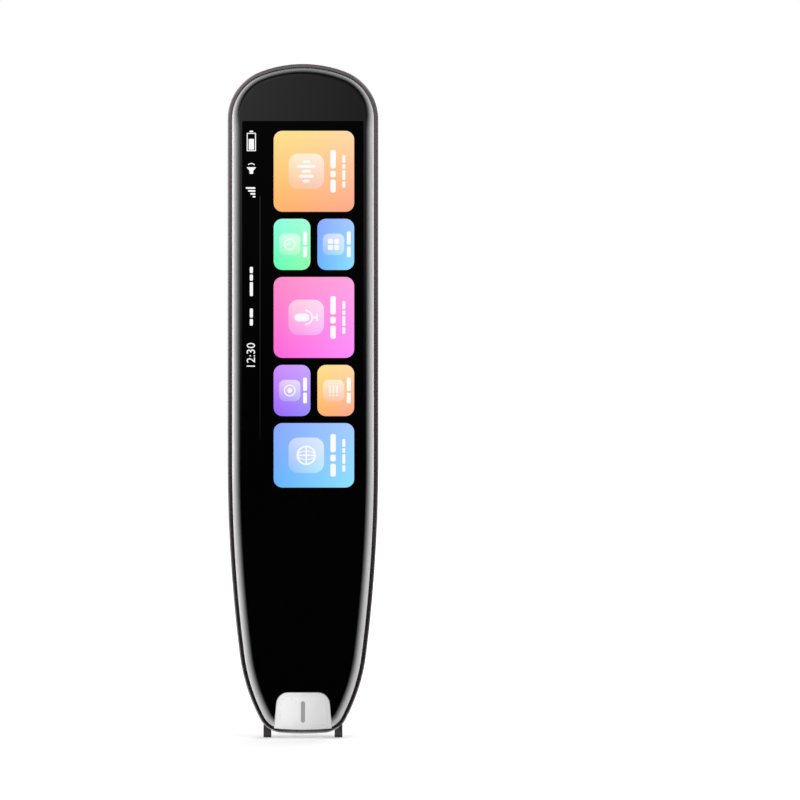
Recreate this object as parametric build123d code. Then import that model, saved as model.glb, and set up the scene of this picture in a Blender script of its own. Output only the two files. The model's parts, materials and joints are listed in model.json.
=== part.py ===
from build123d import *
import math
import os

# Handheld scanning translator, in millimetres. It stands upright on the two tips of its
# scan foot: +Z runs up to the crown, the cover glass faces -Y, the back faces +Y, and the
# side with the keys is +X. "Depth" is measured from the front of the cover glass.

# ---- Body ----
BODY_WIDTH = 36.5
BODY_LENGTH = 162.4
BODY_DEPTH = 13.8
CHIN_HEIGHT = 1.2
CROWN_RADIUS = 28.9
CROWN_CORNER = 12.3
FLANK_RADIUS = 373.0
FLANK_TURN = 7.2
SHOULDER_TURN = 27.7
NOSE_CORNER = 6.3
CHIN_TURN = 85.9
CHIN_RADIUS = 73.8
BACK_ROUND = 9.0
TAPER_LENGTH = 59.5
TAPER_RADIUS = 340.0
CHIN_ROUND = 8.6
CHIN_ROUND_DEPTH = 0.9
WALL = 1.2

# ---- Rim round the glass ----
RIM_FRONT = 0.45
RIM_BACK = 2.2
RIM_CHAMFER = 0.3
RIM_ROUND = 0.7
RIM_WIDTH = 0.8
LEDGE_WIDTH = 1.05
GLASS_GAP = 0.15

# ---- Clearances ----
SEAT_GAP = 0.05
SLIDE_GAP = 0.15
KEY_GAP = 0.15

# ---- Glass, display and window ----
GLASS_THICKNESS = 1.1
GLASS_CURVE = 3.0
GLASS_CURVE_DROP = 0.6
ADHESIVE_THICKNESS = 0.15
ADHESIVE_MARGIN = 0.1
DISPLAY_SIDE_GAP = 1.1
DISPLAY_LENGTH = 93.0
DISPLAY_THICKNESS = 1.2
DISPLAY_DROP = 12.0
WINDOW_TOP_WIDTH = 12.4
WINDOW_BOTTOM_WIDTH = 14.3
WINDOW_HEIGHT = 10.1
WINDOW_CORNER = 2.8
WINDOW_BEVEL = 0.35
WINDOW_BLOCK_WIDTH = 12.0
WINDOW_BACK = 3.2
MARK_WIDTH = 1.0
MARK_LENGTH = 5.2
MARK_DEPTH = 0.3
MARK_CENTRE = 5.3

# ---- Sound plate on the back ----
PLATE_DROP = 30.6
PLATE_STRAIGHT = 22.8
PLATE_RECESS = 0.9
PLATE_RECESS_BEVEL = 0.85
PLATE_RECESS_FOOT = 0.2
PLATE_FLANGE_WIDTH = 17.8
PLATE_FLANGE_GAP = 0.1
PLATE_FLANGE_SINK = 0.6
PLATE_LEDGE = 0.45
PLATE_SINK = 0.3
PLATE_PAD_MARGIN = 1.0
PLATE_PAD = 1.8
DISC_DIAMETER = 15.4
DISC_SPACING = 22.6
DISC_GAP = 0.2
DISC_EDGE = 0.2
GRILLE_SLOTS = 7
GRILLE_SLOT_WIDTH = 0.85
GRILLE_SLOT_PITCH = 1.77
GRILLE_MARGIN = 0.95
GRILLE_SLANT = 45
MESH_DIAMETER = 13.8
MESH_THICKNESS = 0.15
SOUND_HOLE_DIAMETER = 13.0
SPEAKER_DIAMETER = 15.2
SPEAKER_DEPTH = 3.4
SPEAKER_GASKET = 0.4
SPEAKER_GASKET_WIDTH = 1.1
SPEAKER_WELL = 1.0
SPEAKER_DOME_DIAMETER = 6.0
SPEAKER_DOME_HEIGHT = 0.7

# ---- Scan head ----
SCAN_TOP = 23.1
SCAN_BEZEL_WIDTH = 16.9
SCAN_BEZEL_STEP = 0.45
SCAN_BEZEL_TRIM = 1.4
SCAN_BEZEL_SINK = 0.25
SCAN_BEZEL_HOLE_CORNER = 1.2
SCAN_BEZEL_CORNER = 2.4
SCAN_BEZEL_FRONT = 9.15
SCAN_BEZEL_BOTTOM = 13.4
SCAN_NOTCH_TOP = 13.9
HOOD_WALL = 0.7
HOOD_FRONT = 3.3
HOOD_BACK = 9.0
HOOD_BOTTOM = 11.9
HOOD_ROOF = 1.2
HOOD_CORNER = 1.5
HOOD_STEP_TOP = 15.7
BULKHEAD = 1.6
BULKHEAD_OPENING_WIDTH = 12.8
BULKHEAD_OPENING_FRONT = 4.2
BULKHEAD_OPENING_BACK = 9.8
PANE_WIDTH = 11.6
PANE_DEPTH = 3.8
PANE_THICKNESS = 0.8
PANE_LIP = 0.5
CAMERA_CENTRE_DEPTH = 7.0
CAMERA_WIDTH = 8.4
CAMERA_DEPTH = 4.8
CAMERA_HEIGHT = 5.6
CAMERA_BARREL_DIAMETER = 5.0
LENS_DIAMETER = 3.4
LENS_HEIGHT = 0.6
LAMP_BOARD_THICKNESS = 0.6
LAMP_BOARD_LAP = 0.5
LAMP_SIZE = 1.5
LAMP_HEIGHT = 0.6
LAMP_OFFSET = 4.4

# ---- Scan foot ----
FOOT_TRAVEL = 1.2
BLADE_INNER = 7.7
BLADE_THICKNESS = 1.9
BLADE_FRONT = 2.4
BLADE_BACK = 9.9
BLADE_TOP = 11.9
BLADE_TIP_BACK = 4.2
BLADE_TIP_ROUND = 0.85
BLADE_BACK_RADIUS = 15.0
WEB_BOTTOM = 11.6
WEB_HEIGHT = 2.6
WEB_FRONT = 3.4
WEB_THICKNESS = 1.2
WEB_SKIRT_HEIGHT = 3.2
TONGUE_FRONT = 3.7
TONGUE_BACK = 8.6
TONGUE_HEIGHT = 5.1
LUG_REACH = 0.8
LUG_BOTTOM = 15.2
LUG_HEIGHT = 1.0
LUG_FRONT = 4.6
LUG_DEPTH = 2.6
POCKET_TOP = 21.0
SPRING_DIAMETER = 1.6
SPRING_WIRE = 0.24
SPRING_TURNS = 5
SPRING_DEPTH = 5.4
POST_DIAMETER = 1.4
POST_HEIGHT = 0.6
PLUNGER_DIAMETER = 0.7
PLUNGER_DEPTH = 7.6
PLUNGER_LENGTH = 1.8
PLUNGER_GAP = 0.05
SWITCH_HEIGHT = 2.0
SWITCH_WIDTH = 1.7
SWITCH_ROOF = 0.3

# ---- Keys ----
KEY_DEPTH = 6.9
KEY_WIDTH = 3.4
KEY_PROUD = 0.1
KEY_EDGE = 0.3
KEY_TRAVEL = 0.3
KEY_FLANGE = 0.5
KEY_FLANGE_MARGIN = 0.55
KEY_FLANGE_DEPTH = 2.05
VOLUME_DROP = 27.8
VOLUME_LENGTH = 12.0
VOLUME_WAIST_RADIUS = 2.0
VOLUME_WAIST_REACH = 0.5
VOLUME_WAIST_DEPTH = 0.5
VOLUME_TURN_GAP = 0.35
FUNCTION_DROP = 46.1
FUNCTION_LENGTH = 11.6
POWER_LENGTH = 8.7
POWER_WIDTH = 2.6
POWER_DEPTH = 6.7
POWER_SINK = 2.2
POWER_POCKET = 1.5
SWITCH_CLEARANCE = 0.1
TACT_SIZE = 3.4
TACT_DEPTH = 2.2
TACT_HEIGHT = 2.6
TACT_BUTTON = 0.6
TACT_BUTTON_WIDTH = 1.2
TACT_BUTTON_LENGTH = 1.8
PIN_DIAMETER = 0.8
PIN_GAP = 0.03
BRACKET_THICKNESS = 0.7
BRACKET_ARM = 1.4
BRACKET_WIDTH = 2.0
EYE_WIDTH = 1.8
STUB_WIDTH = 1.6
STUB_INSET = 1.8
RELIEF_MARGIN = 0.9
RELIEF_ROOM = 1.0

# ---- Card slot and reader ----
CARD_DROP = 29.3
CARD_LENGTH = 14.7
CARD_FRONT = 2.5
CARD_SLOT_WIDTH = 1.7
CARD_THUMB_LENGTH = 7.7
CARD_THUMB_REACH = 1.1
CARD_SLEEVE_WALL = 0.3
CARD_SLEEVE_SINK = 0.25
CARD_SLEEVE_REACH = 1.6
READER_LENGTH = 13.6
READER_WIDTH = 12.0
READER_THICKNESS = 1.45
READER_LID = 0.2
READER_FLOOR = 0.3
READER_SIDE = 0.8
READER_END = 1.0

# ---- Charging port and microphone ----
PORT_DROP = 61.6
PORT_LENGTH = 8.94
PORT_HEIGHT = 3.2
PORT_REACH = 7.3
PORT_SHELL = 0.3
PORT_SINK = 0.3
PORT_END = 1.0
PORT_TONGUE_SINK = 0.8
PORT_TONGUE = 0.7
PORT_TONGUE_LENGTH = 6.7
MIC_DROP = 54.3
MIC_HOLE = 1.0
MIC_GAP = 0.9
MIC_LENGTH = 2.7
MIC_WIDTH = 2.6
MIC_HEIGHT = 2.5

# ---- Inside ----
FRAME_FRONT = 2.4
FRAME_THICKNESS = 0.9
FRAME_BOTTOM = 25.4
FRAME_GAP = 0.2
BOARD_FRONT = 4.2
BOARD_THICKNESS = 0.8
BOARD_SIDE_GAP = 2.55
BOARD_LENGTH = 60.8
BOARD_DROP = 6.6
BOARD_CORNER = 5.0
BOARD_POST_DIAMETER = 2.6
BOARD_SCREW_SIDE = 5.9
BOARD_SCREW_RISE = 2.4
BOARD_SCREW_DROP = 7.5
BATTERY_WIDTH = 24.0
BATTERY_THICKNESS = 5.6
BATTERY_BOTTOM = 35.0
BATTERY_GAP = 4.2
BATTERY_CORNER = 1.5
SHIELD_WIDTH = 17.0
SHIELD_LENGTH = 18.0
SHIELD_HEIGHT = 1.5
SHIELD_CENTRE_X = -2.5
SHIELD_DROP = 47.0
SHIELD_EDGE = 0.4
CHIPS = ((-6.2, 31.2, 5.5, 6.5, 0.9), (1.2, 31.5, 5.5, 5.0, 0.8), (7.0, 31.5, 3.0, 4.0, 0.9))
BOSS_DIAMETER = 3.4
FRAME_SCREW_LOW_X = 11.2
FRAME_SCREW_HIGH_X = 9.2
FRAME_SCREW_SIDE = 4.05
FRAME_SCREW_RISE = 3.0
FRAME_SCREW_GAP = 2.6
FRAME_SCREW_DROP = 5.2
SCREW_HEAD_DIAMETER = 2.4
SCREW_HEAD_HEIGHT = 0.45
SCREW_DIAMETER = 1.4
SCREW_LENGTH = 3.2
SCREW_TIP_GAP = 0.3
BOARD_SCREW_BITE = 0.3
BOARD_SCREW_TIP_GAP = 0.1
ANTENNA_LENGTH = 18.0
ANTENNA_THICKNESS = 0.25
ANTENNA_DROP = 51.6
ANTENNA_WIDTH = 2.4
ANTENNA_RISE = 0.2
ANTENNA_GAP = 0.55
FLEX_THICKNESS = 0.15
FLEX_WIDTH = 9.0
FLEX_LOOP = 1.6
FLEX_PLUG = 3.6
FLEX_PLUG_START = 1.0
CAMERA_FLEX_WIDTH = 5.0
CAMERA_FLEX_GAP = 0.1
CAMERA_FLEX_TAIL = 2.0
CAMERA_FLEX_PLUG = 4.0
LEAD_DIAMETER = 1.0
LEAD_SPACING = 1.6
LEAD_X = 4.0
LEAD_RISE = 1.6
LEAD_REACH = 2.5
LEAD_BEND = 1.0

# ---- Worked out from the above ----
HALF = BODY_WIDTH / 2
TOP = CHIN_HEIGHT + BODY_LENGTH
TAPER_START = CHIN_HEIGHT + TAPER_LENGTH
GLASS_INSET = RIM_WIDTH + GLASS_GAP
LEDGE_INSET = RIM_WIDTH + LEDGE_WIDTH
DISPLAY_WIDTH = BODY_WIDTH - 2 * (LEDGE_INSET + DISPLAY_SIDE_GAP)
DISPLAY_BOTTOM = TOP - DISPLAY_DROP - DISPLAY_LENGTH
LEDGE_DEPTH = GLASS_THICKNESS + ADHESIVE_THICKNESS
PLATE_CENTRE = TOP - PLATE_DROP
PLATE_WIDTH = PLATE_FLANGE_WIDTH - 2 * PLATE_LEDGE
PLATE_OPENING_WIDTH = PLATE_FLANGE_WIDTH + 2 * (PLATE_FLANGE_GAP + PLATE_RECESS_BEVEL)
PLATE_OPENING_LENGTH = PLATE_OPENING_WIDTH + PLATE_STRAIGHT
VOLUME_CENTRE = TOP - VOLUME_DROP
FUNCTION_CENTRE = TOP - FUNCTION_DROP
CARD_CENTRE = TOP - CARD_DROP
PORT_CENTRE = TOP - PORT_DROP
MIC_CENTRE = TOP - MIC_DROP
BLADE_OUTER = BLADE_INNER + BLADE_THICKNESS
BLADE_SLOT = BLADE_OUTER + SLIDE_GAP
BLADE_CENTRE = BLADE_INNER + BLADE_THICKNESS / 2
TONGUE_TOP = BLADE_TOP + TONGUE_HEIGHT
CAVITY_BOTTOM = SCAN_TOP + BULKHEAD
FRAME_BACK = FRAME_FRONT + FRAME_THICKNESS
BOARD_BACK = BOARD_FRONT + BOARD_THICKNESS
RECESS_FLOOR = BODY_DEPTH - PLATE_RECESS
PAD_FACE = BODY_DEPTH - PLATE_PAD
PLATE_BACK = BODY_DEPTH - PLATE_SINK
SWITCH_GAP = KEY_TRAVEL + SWITCH_CLEARANCE
BOARD_TOP = TOP - BOARD_DROP
BOARD_BOTTOM = BOARD_TOP - BOARD_LENGTH
BATTERY_LENGTH = BOARD_BOTTOM - BATTERY_GAP - BATTERY_BOTTOM
SHIELD_CENTRE = BOARD_TOP - SHIELD_DROP
ANTENNA_CENTRE = TOP - ANTENNA_DROP
BOARD_SCREW_ROWS = (BOARD_BOTTOM + BOARD_SCREW_RISE, BOARD_TOP - BOARD_SCREW_DROP)
FRAME_SCREW_ROWS = (
    (FRAME_SCREW_LOW_X, FRAME_BOTTOM + FRAME_SCREW_RISE),
    (HALF - FRAME_SCREW_SIDE, BOARD_BOTTOM - FRAME_SCREW_GAP),
    (FRAME_SCREW_HIGH_X, TOP - FRAME_SCREW_DROP),
)
FRAME_SCREWS = [(side * x, z) for x, z in FRAME_SCREW_ROWS for side in (-1, 1)]
BOARD_WIDTH = BODY_WIDTH - 2 * (WALL + BOARD_SIDE_GAP)
BOARD_SCREW_X = BOARD_WIDTH / 2 - BOARD_SCREW_SIDE
BOARD_SCREWS = [(side * BOARD_SCREW_X, z) for z in BOARD_SCREW_ROWS for side in (-1, 1)]
FAR = 60.0
PAST = 1.0
MELD = 0.01


# ---- Helpers ----
def y_of(depth):
    """Y of a depth behind the front of the glass"""
    return depth - BODY_DEPTH / 2


def block(x, depth, z):
    """Box from three pairs of limits: x, depth and z"""
    size = (x[1] - x[0], depth[1] - depth[0], z[1] - z[0])
    centre = ((x[0] + x[1]) / 2, y_of((depth[0] + depth[1]) / 2), (z[0] + z[1]) / 2)
    return Pos(*centre) * Box(*size)


def rod_y(x, z, depth, diameter):
    """Cylinder along Y between two depths"""
    centre = (x, y_of((depth[0] + depth[1]) / 2), z)
    return Pos(*centre) * Rot(90, 0, 0) * Cylinder(diameter / 2, depth[1] - depth[0])


def rod_z(x, depth, z, diameter):
    """Cylinder along Z between two heights"""
    return Pos(x, y_of(depth), (z[0] + z[1]) / 2) * Cylinder(diameter / 2, z[1] - z[0])


def back_plane(x, z, depth):
    """Sketch plane that looks out of the back, with its long axis up"""
    return Plane((x, y_of(depth), z), x_dir=(0, 0, 1), z_dir=(0, 1, 0))


def pill_y(z, length, width, depth, x=0):
    """Round-ended bar: long along Z, extruded between two depths"""
    sketch = back_plane(x, z, depth[0]) * SlotOverall(length, width)
    return extrude(sketch, amount=depth[1] - depth[0])


def pill_x(z, length, width, depth, x):
    """Round-ended bar: long along Z, centred on a depth, extruded between two x"""
    plane = Plane((x[0], y_of(depth), z), x_dir=(0, 0, 1), z_dir=(1, 0, 0))
    return extrude(plane * SlotOverall(length, width), amount=x[1] - x[0])


def polar(centre, radius, angle):
    turn = math.radians(angle)
    return (centre[0] + radius * math.cos(turn), centre[1] + radius * math.sin(turn))


def both_sides(shape):
    """A shape and its mirror image across the middle plane"""
    return [shape, mirror(shape, about=Plane.YZ)]


# ---- Body form ----
def outline_arcs():
    """Tangent arcs of the front outline, from crown to chin: centre, radius, start, stop"""
    crown_angle = math.degrees(math.acos((HALF - CROWN_CORNER) / (CROWN_RADIUS - CROWN_CORNER)))
    crown = (0, TOP - CROWN_RADIUS)
    corner = polar(crown, CROWN_RADIUS - CROWN_CORNER, crown_angle)
    turns = (FLANK_TURN, SHOULDER_TURN, CHIN_TURN)
    cosines = [math.cos(math.radians(turn)) for turn in turns]
    flank_part = FLANK_RADIUS * (1 - cosines[0])
    nose_part = NOSE_CORNER * (cosines[1] - cosines[2]) + CHIN_RADIUS * cosines[2]
    shoulder_radius = (HALF - flank_part - nose_part) / (cosines[0] - cosines[1])
    chin = (0, CHIN_HEIGHT + CHIN_RADIUS)
    nose = polar(chin, CHIN_RADIUS - NOSE_CORNER, -CHIN_TURN)
    shoulder = polar(nose, NOSE_CORNER - shoulder_radius, -SHOULDER_TURN)
    flank = polar(shoulder, shoulder_radius - FLANK_RADIUS, -FLANK_TURN)
    return [
        (crown, CROWN_RADIUS, 90, crown_angle),
        (corner, CROWN_CORNER, crown_angle, 0),
        (flank, FLANK_RADIUS, 0, -FLANK_TURN),
        (shoulder, shoulder_radius, -FLANK_TURN, -SHOULDER_TURN),
        (nose, NOSE_CORNER, -SHOULDER_TURN, -CHIN_TURN),
        (chin, CHIN_RADIUS, -CHIN_TURN, -90),
    ]


def outline_face(inset, depth, with_nose=True):
    """Front outline moved inwards; without its nose it ends flat below the shoulders"""
    arcs = outline_arcs() if with_nose else outline_arcs()[:4]
    edges = []
    ends = []
    for side in (1, -1):
        last = None
        for centre, radius, start, stop in arcs:
            points = [polar(centre, radius - inset, turn) for turn in (start, (start + stop) / 2, stop)]
            first, middle, end = [Vector(side * x, y_of(depth), z) for x, z in points]
            if last is not None and (last - first).length > 1e-4:
                edges.append(Line(last, first))
            edges.append(ThreePointArc(first, middle, end))
            last = end
        ends.append(last)
    if not with_nose:
        edges.append(Line(*ends))
    return make_face(edges)


def outline_prism(inset, depth):
    return extrude(outline_face(inset, depth[0]), amount=depth[1] - depth[0], dir=(0, 1, 0))


def shoulder_end():
    """Height at which the shoulder arcs hand over to the nose"""
    centre, radius, start, stop = outline_arcs()[3]
    return polar(centre, radius, stop)[1]


def back_limit(inset):
    """Everything in front of the back: flat above, bending forward towards the nose"""
    radius = TAPER_RADIUS - inset
    centre = BODY_DEPTH - TAPER_RADIUS
    sweep_angle = math.asin((TAPER_START + FAR) / radius)
    bend = []
    for angle in (sweep_angle, sweep_angle / 2, 0):
        depth = centre + radius * math.cos(angle)
        bend.append(Vector(0, y_of(depth), TAPER_START - radius * math.sin(angle)))
    above = Vector(0, bend[2].Y, TOP + FAR)
    front_above = Vector(0, y_of(-FAR), TOP + FAR)
    front_below = Vector(0, y_of(-FAR), bend[0].Z)
    edges = [ThreePointArc(*bend), Polyline(bend[2], above, front_above, front_below, bend[0])]
    return extrude(make_face(edges), amount=BODY_WIDTH, dir=(1, 0, 0), both=True)


def back_depth(z, inset):
    """Depth of the back at a height"""
    below = max(TAPER_START - z, 0)
    return BODY_DEPTH - TAPER_RADIUS + math.sqrt((TAPER_RADIUS - inset) ** 2 - below**2)


def hull(inset, front):
    """Body form moved inwards, from a depth to the back, with its rounded back edge

    It is rounded while its sides still reach further forward, so that the nose, where it is
    thinner than the rounding, takes it too.
    """
    face = outline_face(inset, front - BACK_ROUND, with_nose=False)
    body = extrude(face, amount=BODY_DEPTH + BACK_ROUND, dir=(0, 1, 0)) & back_limit(inset)
    solid = body.solid()
    bottom = solid.bounding_box().min.Z
    back_edges = []
    for edge in solid.edges():
        ends = [edge.position_at(0), edge.position_at(1)]
        at_bottom = all(abs(end.Z - bottom) < 1e-3 for end in ends)
        at_bend = all(abs(end.Z - TAPER_START) < 1e-3 for end in ends)
        on_back = all(abs(end.Y - y_of(back_depth(end.Z, inset))) < 1e-3 for end in ends)
        if on_back and not at_bottom and not at_bend:
            back_edges.append(edge)
    rounded = solid.fillet(BACK_ROUND - inset, back_edges)
    return rounded & block((-FAR, FAR), (front, FAR), (-FAR, TOP + FAR))


def chin_cut():
    """What the rounded chin takes off behind the rim"""
    low = shoulder_end()
    centre = (CHIN_ROUND_DEPTH, low + CHIN_ROUND)
    points = [polar(centre, CHIN_ROUND, angle) for angle in (-90, -45, 0)]
    first, middle, end = [Vector(-FAR, y_of(depth), z) for depth, z in points]
    below = -FAR
    corners = [
        end,
        Vector(-FAR, y_of(FAR), end.Z),
        Vector(-FAR, y_of(FAR), below),
        Vector(-FAR, first.Y, below),
        first,
    ]
    face = make_face([ThreePointArc(first, middle, end), Polyline(*corners)])
    return extrude(face, amount=2 * FAR, dir=(1, 0, 0))


def rim_band():
    """Rim in front of the shell, whole round the nose, with its back edge rounded"""
    band = outline_prism(0, (RIM_FRONT, RIM_BACK)).solid()
    back = band.faces().sort_by(Axis.Y)[-1].edges()
    return band.fillet(RIM_ROUND, back)


def glass_form():
    """Front of the glass: flat, falling away along its edge on an arc"""
    reach = math.sqrt(2 * GLASS_CURVE * GLASS_CURVE_DROP - GLASS_CURVE_DROP**2)
    plate = outline_prism(GLASS_INSET + reach - GLASS_CURVE, (0, GLASS_CURVE + PAST)).solid()
    front = plate.faces().sort_by(Axis.Y)[0].edges()
    return plate.fillet(GLASS_CURVE, front)


# ---- Rear housing ----
def scan_cuts():
    """Scan cavity: bezel opening, blade pockets and the open chin between the blades"""
    half = SCAN_BEZEL_WIDTH / 2 + SEAT_GAP
    opening = block((-half, half), (RIM_BACK, FAR), (-FAR, SCAN_TOP)).solid()
    top_edges = opening.edges().filter_by(Axis.Y).sort_by(Axis.Z)[-2:]
    opening = opening.fillet(SCAN_BEZEL_CORNER, top_edges)
    pockets = block((-BLADE_SLOT, BLADE_SLOT), (RIM_BACK, SCAN_BEZEL_FRONT), (-FAR, POCKET_TOP))
    notch = block((-BLADE_SLOT, BLADE_SLOT), (RIM_BACK, FAR), (-FAR, SCAN_NOTCH_TOP))
    lug_top = LUG_BOTTOM + LUG_HEIGHT + FOOT_TRAVEL + SLIDE_GAP
    lug_width = BLADE_OUTER + LUG_REACH + SLIDE_GAP
    lug_depth = (LUG_FRONT - SLIDE_GAP, LUG_FRONT + LUG_DEPTH + SLIDE_GAP)
    lugs = block((-lug_width, lug_width), lug_depth, (LUG_BOTTOM - SEAT_GAP, lug_top))
    half_camera = BULKHEAD_OPENING_WIDTH / 2
    camera_depth = (BULKHEAD_OPENING_FRONT, BULKHEAD_OPENING_BACK)
    camera = block((-half_camera, half_camera), camera_depth, (SCAN_TOP - PAST, CAVITY_BOTTOM + PAST))
    return [opening, pockets, notch, lugs, camera]


def sound_plate_seat():
    """Stepped recess for the sound plate, with its sloping wall and the sound hole"""
    floor = pill_y(
        PLATE_CENTRE,
        PLATE_OPENING_LENGTH - 2 * PLATE_RECESS_BEVEL,
        PLATE_OPENING_WIDTH - 2 * PLATE_RECESS_BEVEL,
        (RECESS_FLOOR, BODY_DEPTH + PAST),
    )
    outline = SlotOverall(PLATE_OPENING_LENGTH + 2 * PAST, PLATE_OPENING_WIDTH + 2 * PAST)
    sketch = back_plane(0, PLATE_CENTRE, BODY_DEPTH + PAST) * outline
    slope = extrude(sketch, amount=PLATE_RECESS_FOOT - PLATE_RECESS - PAST, taper=45)
    hole = rod_y(0, disc_centres()[0], (PAD_FACE - PAST, BODY_DEPTH), SOUND_HOLE_DIAMETER)
    mesh_depth = (RECESS_FLOOR - MESH_THICKNESS - SEAT_GAP, BODY_DEPTH)
    mesh = rod_y(0, disc_centres()[0], mesh_depth, MESH_DIAMETER + 2 * SEAT_GAP)
    return [floor, slope, hole, mesh]


def sound_plate_pad():
    """Thicker wall behind the sound plate"""
    margin = 2 * PLATE_PAD_MARGIN
    depth = (PAD_FACE, BODY_DEPTH - WALL / 2)
    return pill_y(PLATE_CENTRE, PLATE_OPENING_LENGTH + margin, PLATE_OPENING_WIDTH + margin, depth)


def key_reliefs():
    """Flat pockets inside the wall for the flanges and bracket of the keys"""
    x = (HALF - KEY_FLANGE_DEPTH - BRACKET_ARM - RELIEF_ROOM, HALF - KEY_FLANGE_DEPTH)
    margin = KEY_FLANGE_MARGIN + RELIEF_MARGIN
    depth = (KEY_DEPTH - KEY_WIDTH / 2 - margin, KEY_DEPTH + KEY_WIDTH / 2 + margin)
    cuts = []
    for centre, length in ((VOLUME_CENTRE, VOLUME_LENGTH), (FUNCTION_CENTRE, FUNCTION_LENGTH)):
        half = length / 2 + margin
        cuts.append(block(x, depth, (centre - half, centre + half)))
    half_power = POWER_LENGTH / 2 + margin
    power_depth = (POWER_DEPTH - POWER_WIDTH / 2 - margin, POWER_DEPTH + POWER_WIDTH / 2 + margin)
    power_z = (TOP - POWER_SINK - POWER_POCKET, TOP - POWER_SINK)
    cuts.append(block((-half_power, half_power), power_depth, power_z))
    return cuts


def key_holes():
    outside = (HALF - KEY_FLANGE_DEPTH - PAST, HALF + PAST)
    width = KEY_WIDTH + 2 * KEY_GAP
    volume = pill_x(VOLUME_CENTRE, VOLUME_LENGTH + 2 * KEY_GAP, width, KEY_DEPTH, outside)
    function = pill_x(FUNCTION_CENTRE, FUNCTION_LENGTH + 2 * KEY_GAP, width, KEY_DEPTH, outside)
    plane = Plane((0, y_of(POWER_DEPTH), TOP - POWER_SINK - PAST))
    power_hole = SlotOverall(POWER_LENGTH + 2 * KEY_GAP, POWER_WIDTH + 2 * KEY_GAP)
    power = extrude(plane * power_hole, amount=POWER_SINK + 2 * PAST)
    return [volume, function, power]


def card_opening(margin, x):
    """Slot with its thumbnail notch, bulging towards the back"""
    slot_depth = CARD_FRONT + CARD_SLOT_WIDTH / 2
    width = CARD_SLOT_WIDTH + 2 * margin
    slot = pill_x(CARD_CENTRE, CARD_LENGTH + 2 * margin, width, slot_depth, x)
    half = CARD_THUMB_LENGTH / 2
    radius = (half**2 + CARD_THUMB_REACH**2) / (2 * CARD_THUMB_REACH)
    depth = CARD_FRONT + CARD_SLOT_WIDTH + CARD_THUMB_REACH - radius
    length = x[1] - x[0]
    disc = Pos((x[0] + x[1]) / 2, y_of(depth), CARD_CENTRE) * Rot(0, 90, 0) * Cylinder(radius + margin, length)
    back_half = block((x[0] - PAST, x[1] + PAST), (slot_depth, FAR), (CARD_CENTRE - FAR, CARD_CENTRE + FAR))
    return slot + (disc & back_half)


def port_hole():
    x = (HALF - WALL - 2 * PAST, HALF + PAST)
    depth = BOARD_BACK + PORT_HEIGHT / 2
    return pill_x(PORT_CENTRE, PORT_LENGTH + 2 * SLIDE_GAP, PORT_HEIGHT + 2 * SLIDE_GAP, depth, x)


def mic_hole():
    length = 2 * (WALL + PAST)
    return Pos(HALF, y_of(KEY_DEPTH), MIC_CENTRE) * Rot(0, 90, 0) * Cylinder(MIC_HOLE / 2, length)


def bosses():
    """Screw bosses that stand on the inside of the back"""
    return [rod_y(x, z, (FRAME_BACK, BODY_DEPTH - WALL / 2), BOSS_DIAMETER) for x, z in FRAME_SCREWS]


def screw_holes(places, depth, diameter):
    return [rod_y(x, z, depth, diameter) for x, z in places]


def rear_housing():
    """Metal shell: back, sides and the rim round the glass, in one piece"""
    outer = hull(0, RIM_FRONT)
    above_bulkhead = block((-FAR, FAR), (-FAR, FAR), (CAVITY_BOTTOM, TOP + PAST))
    cavity = hull(WALL, RIM_BACK) & above_bulkhead
    inside = (hull(WALL / 2, RIM_BACK) & above_bulkhead) - key_reliefs()
    fittings = [(part & inside) for part in [sound_plate_pad()] + bosses()]
    shell = outer - chin_cut() + rim_band()
    shell = shell.solid().chamfer(RIM_CHAMFER, None, rim_front_edges(shell.solid()))
    shell = shell - outline_prism(RIM_WIDTH, (-PAST, LEDGE_DEPTH))
    shell = shell - outline_prism(LEDGE_INSET, (-PAST, RIM_BACK + MELD))
    shell = shell - cavity + fittings
    shell = shell - scan_cuts() - sound_plate_seat() - key_reliefs() - key_holes()
    shell = shell - card_opening(0, (-HALF - PAST, -HALF + WALL + 2 * PAST)) - port_hole() - mic_hole()
    shell = shell - screw_holes(FRAME_SCREWS, (FRAME_BACK - PAST, FRAME_BACK + SCREW_LENGTH), SCREW_DIAMETER)
    return shell


def rim_front_edges(solid):
    return solid.faces().sort_by(Axis.Y)[0].edges()


# ---- Glass, display, window ----
def window_sketch(margin, depth):
    """Window outline: a slightly flared U that runs past the chin"""
    half_top = WINDOW_TOP_WIDTH / 2 + margin
    flare = (WINDOW_BOTTOM_WIDTH - WINDOW_TOP_WIDTH) / 2
    top = CHIN_HEIGHT + WINDOW_HEIGHT + margin
    low = CHIN_HEIGHT - PAST
    half_low = half_top + flare * (top - low) / WINDOW_HEIGHT
    corners = [(-half_low, low), (-half_top, top), (half_top, top), (half_low, low)]
    points = [Vector(x, y_of(depth), z) for x, z in corners]
    face = make_face(Polyline(*points, close=True))
    upper = face.vertices().sort_by(Axis.Z)[-2:]
    return fillet(upper, WINDOW_CORNER + margin)


def cover_glass():
    """Glass plate with its curved edge, notched for the viewing window"""
    plate = outline_prism(GLASS_INSET, (0, GLASS_THICKNESS)) & glass_form()
    notch = extrude(window_sketch(0, -PAST), amount=GLASS_THICKNESS + 2 * PAST, dir=(0, 1, 0))
    return plate - notch


def glass_adhesive():
    """Gasket on the ledge, open at the viewing window"""
    ring = outline_prism(GLASS_INSET + ADHESIVE_MARGIN, (GLASS_THICKNESS, LEDGE_DEPTH))
    ring = ring - outline_prism(LEDGE_INSET, (0, RIM_BACK))
    return ring - extrude(window_sketch(0, -PAST), amount=RIM_BACK + 2 * PAST, dir=(0, 1, 0))


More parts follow.
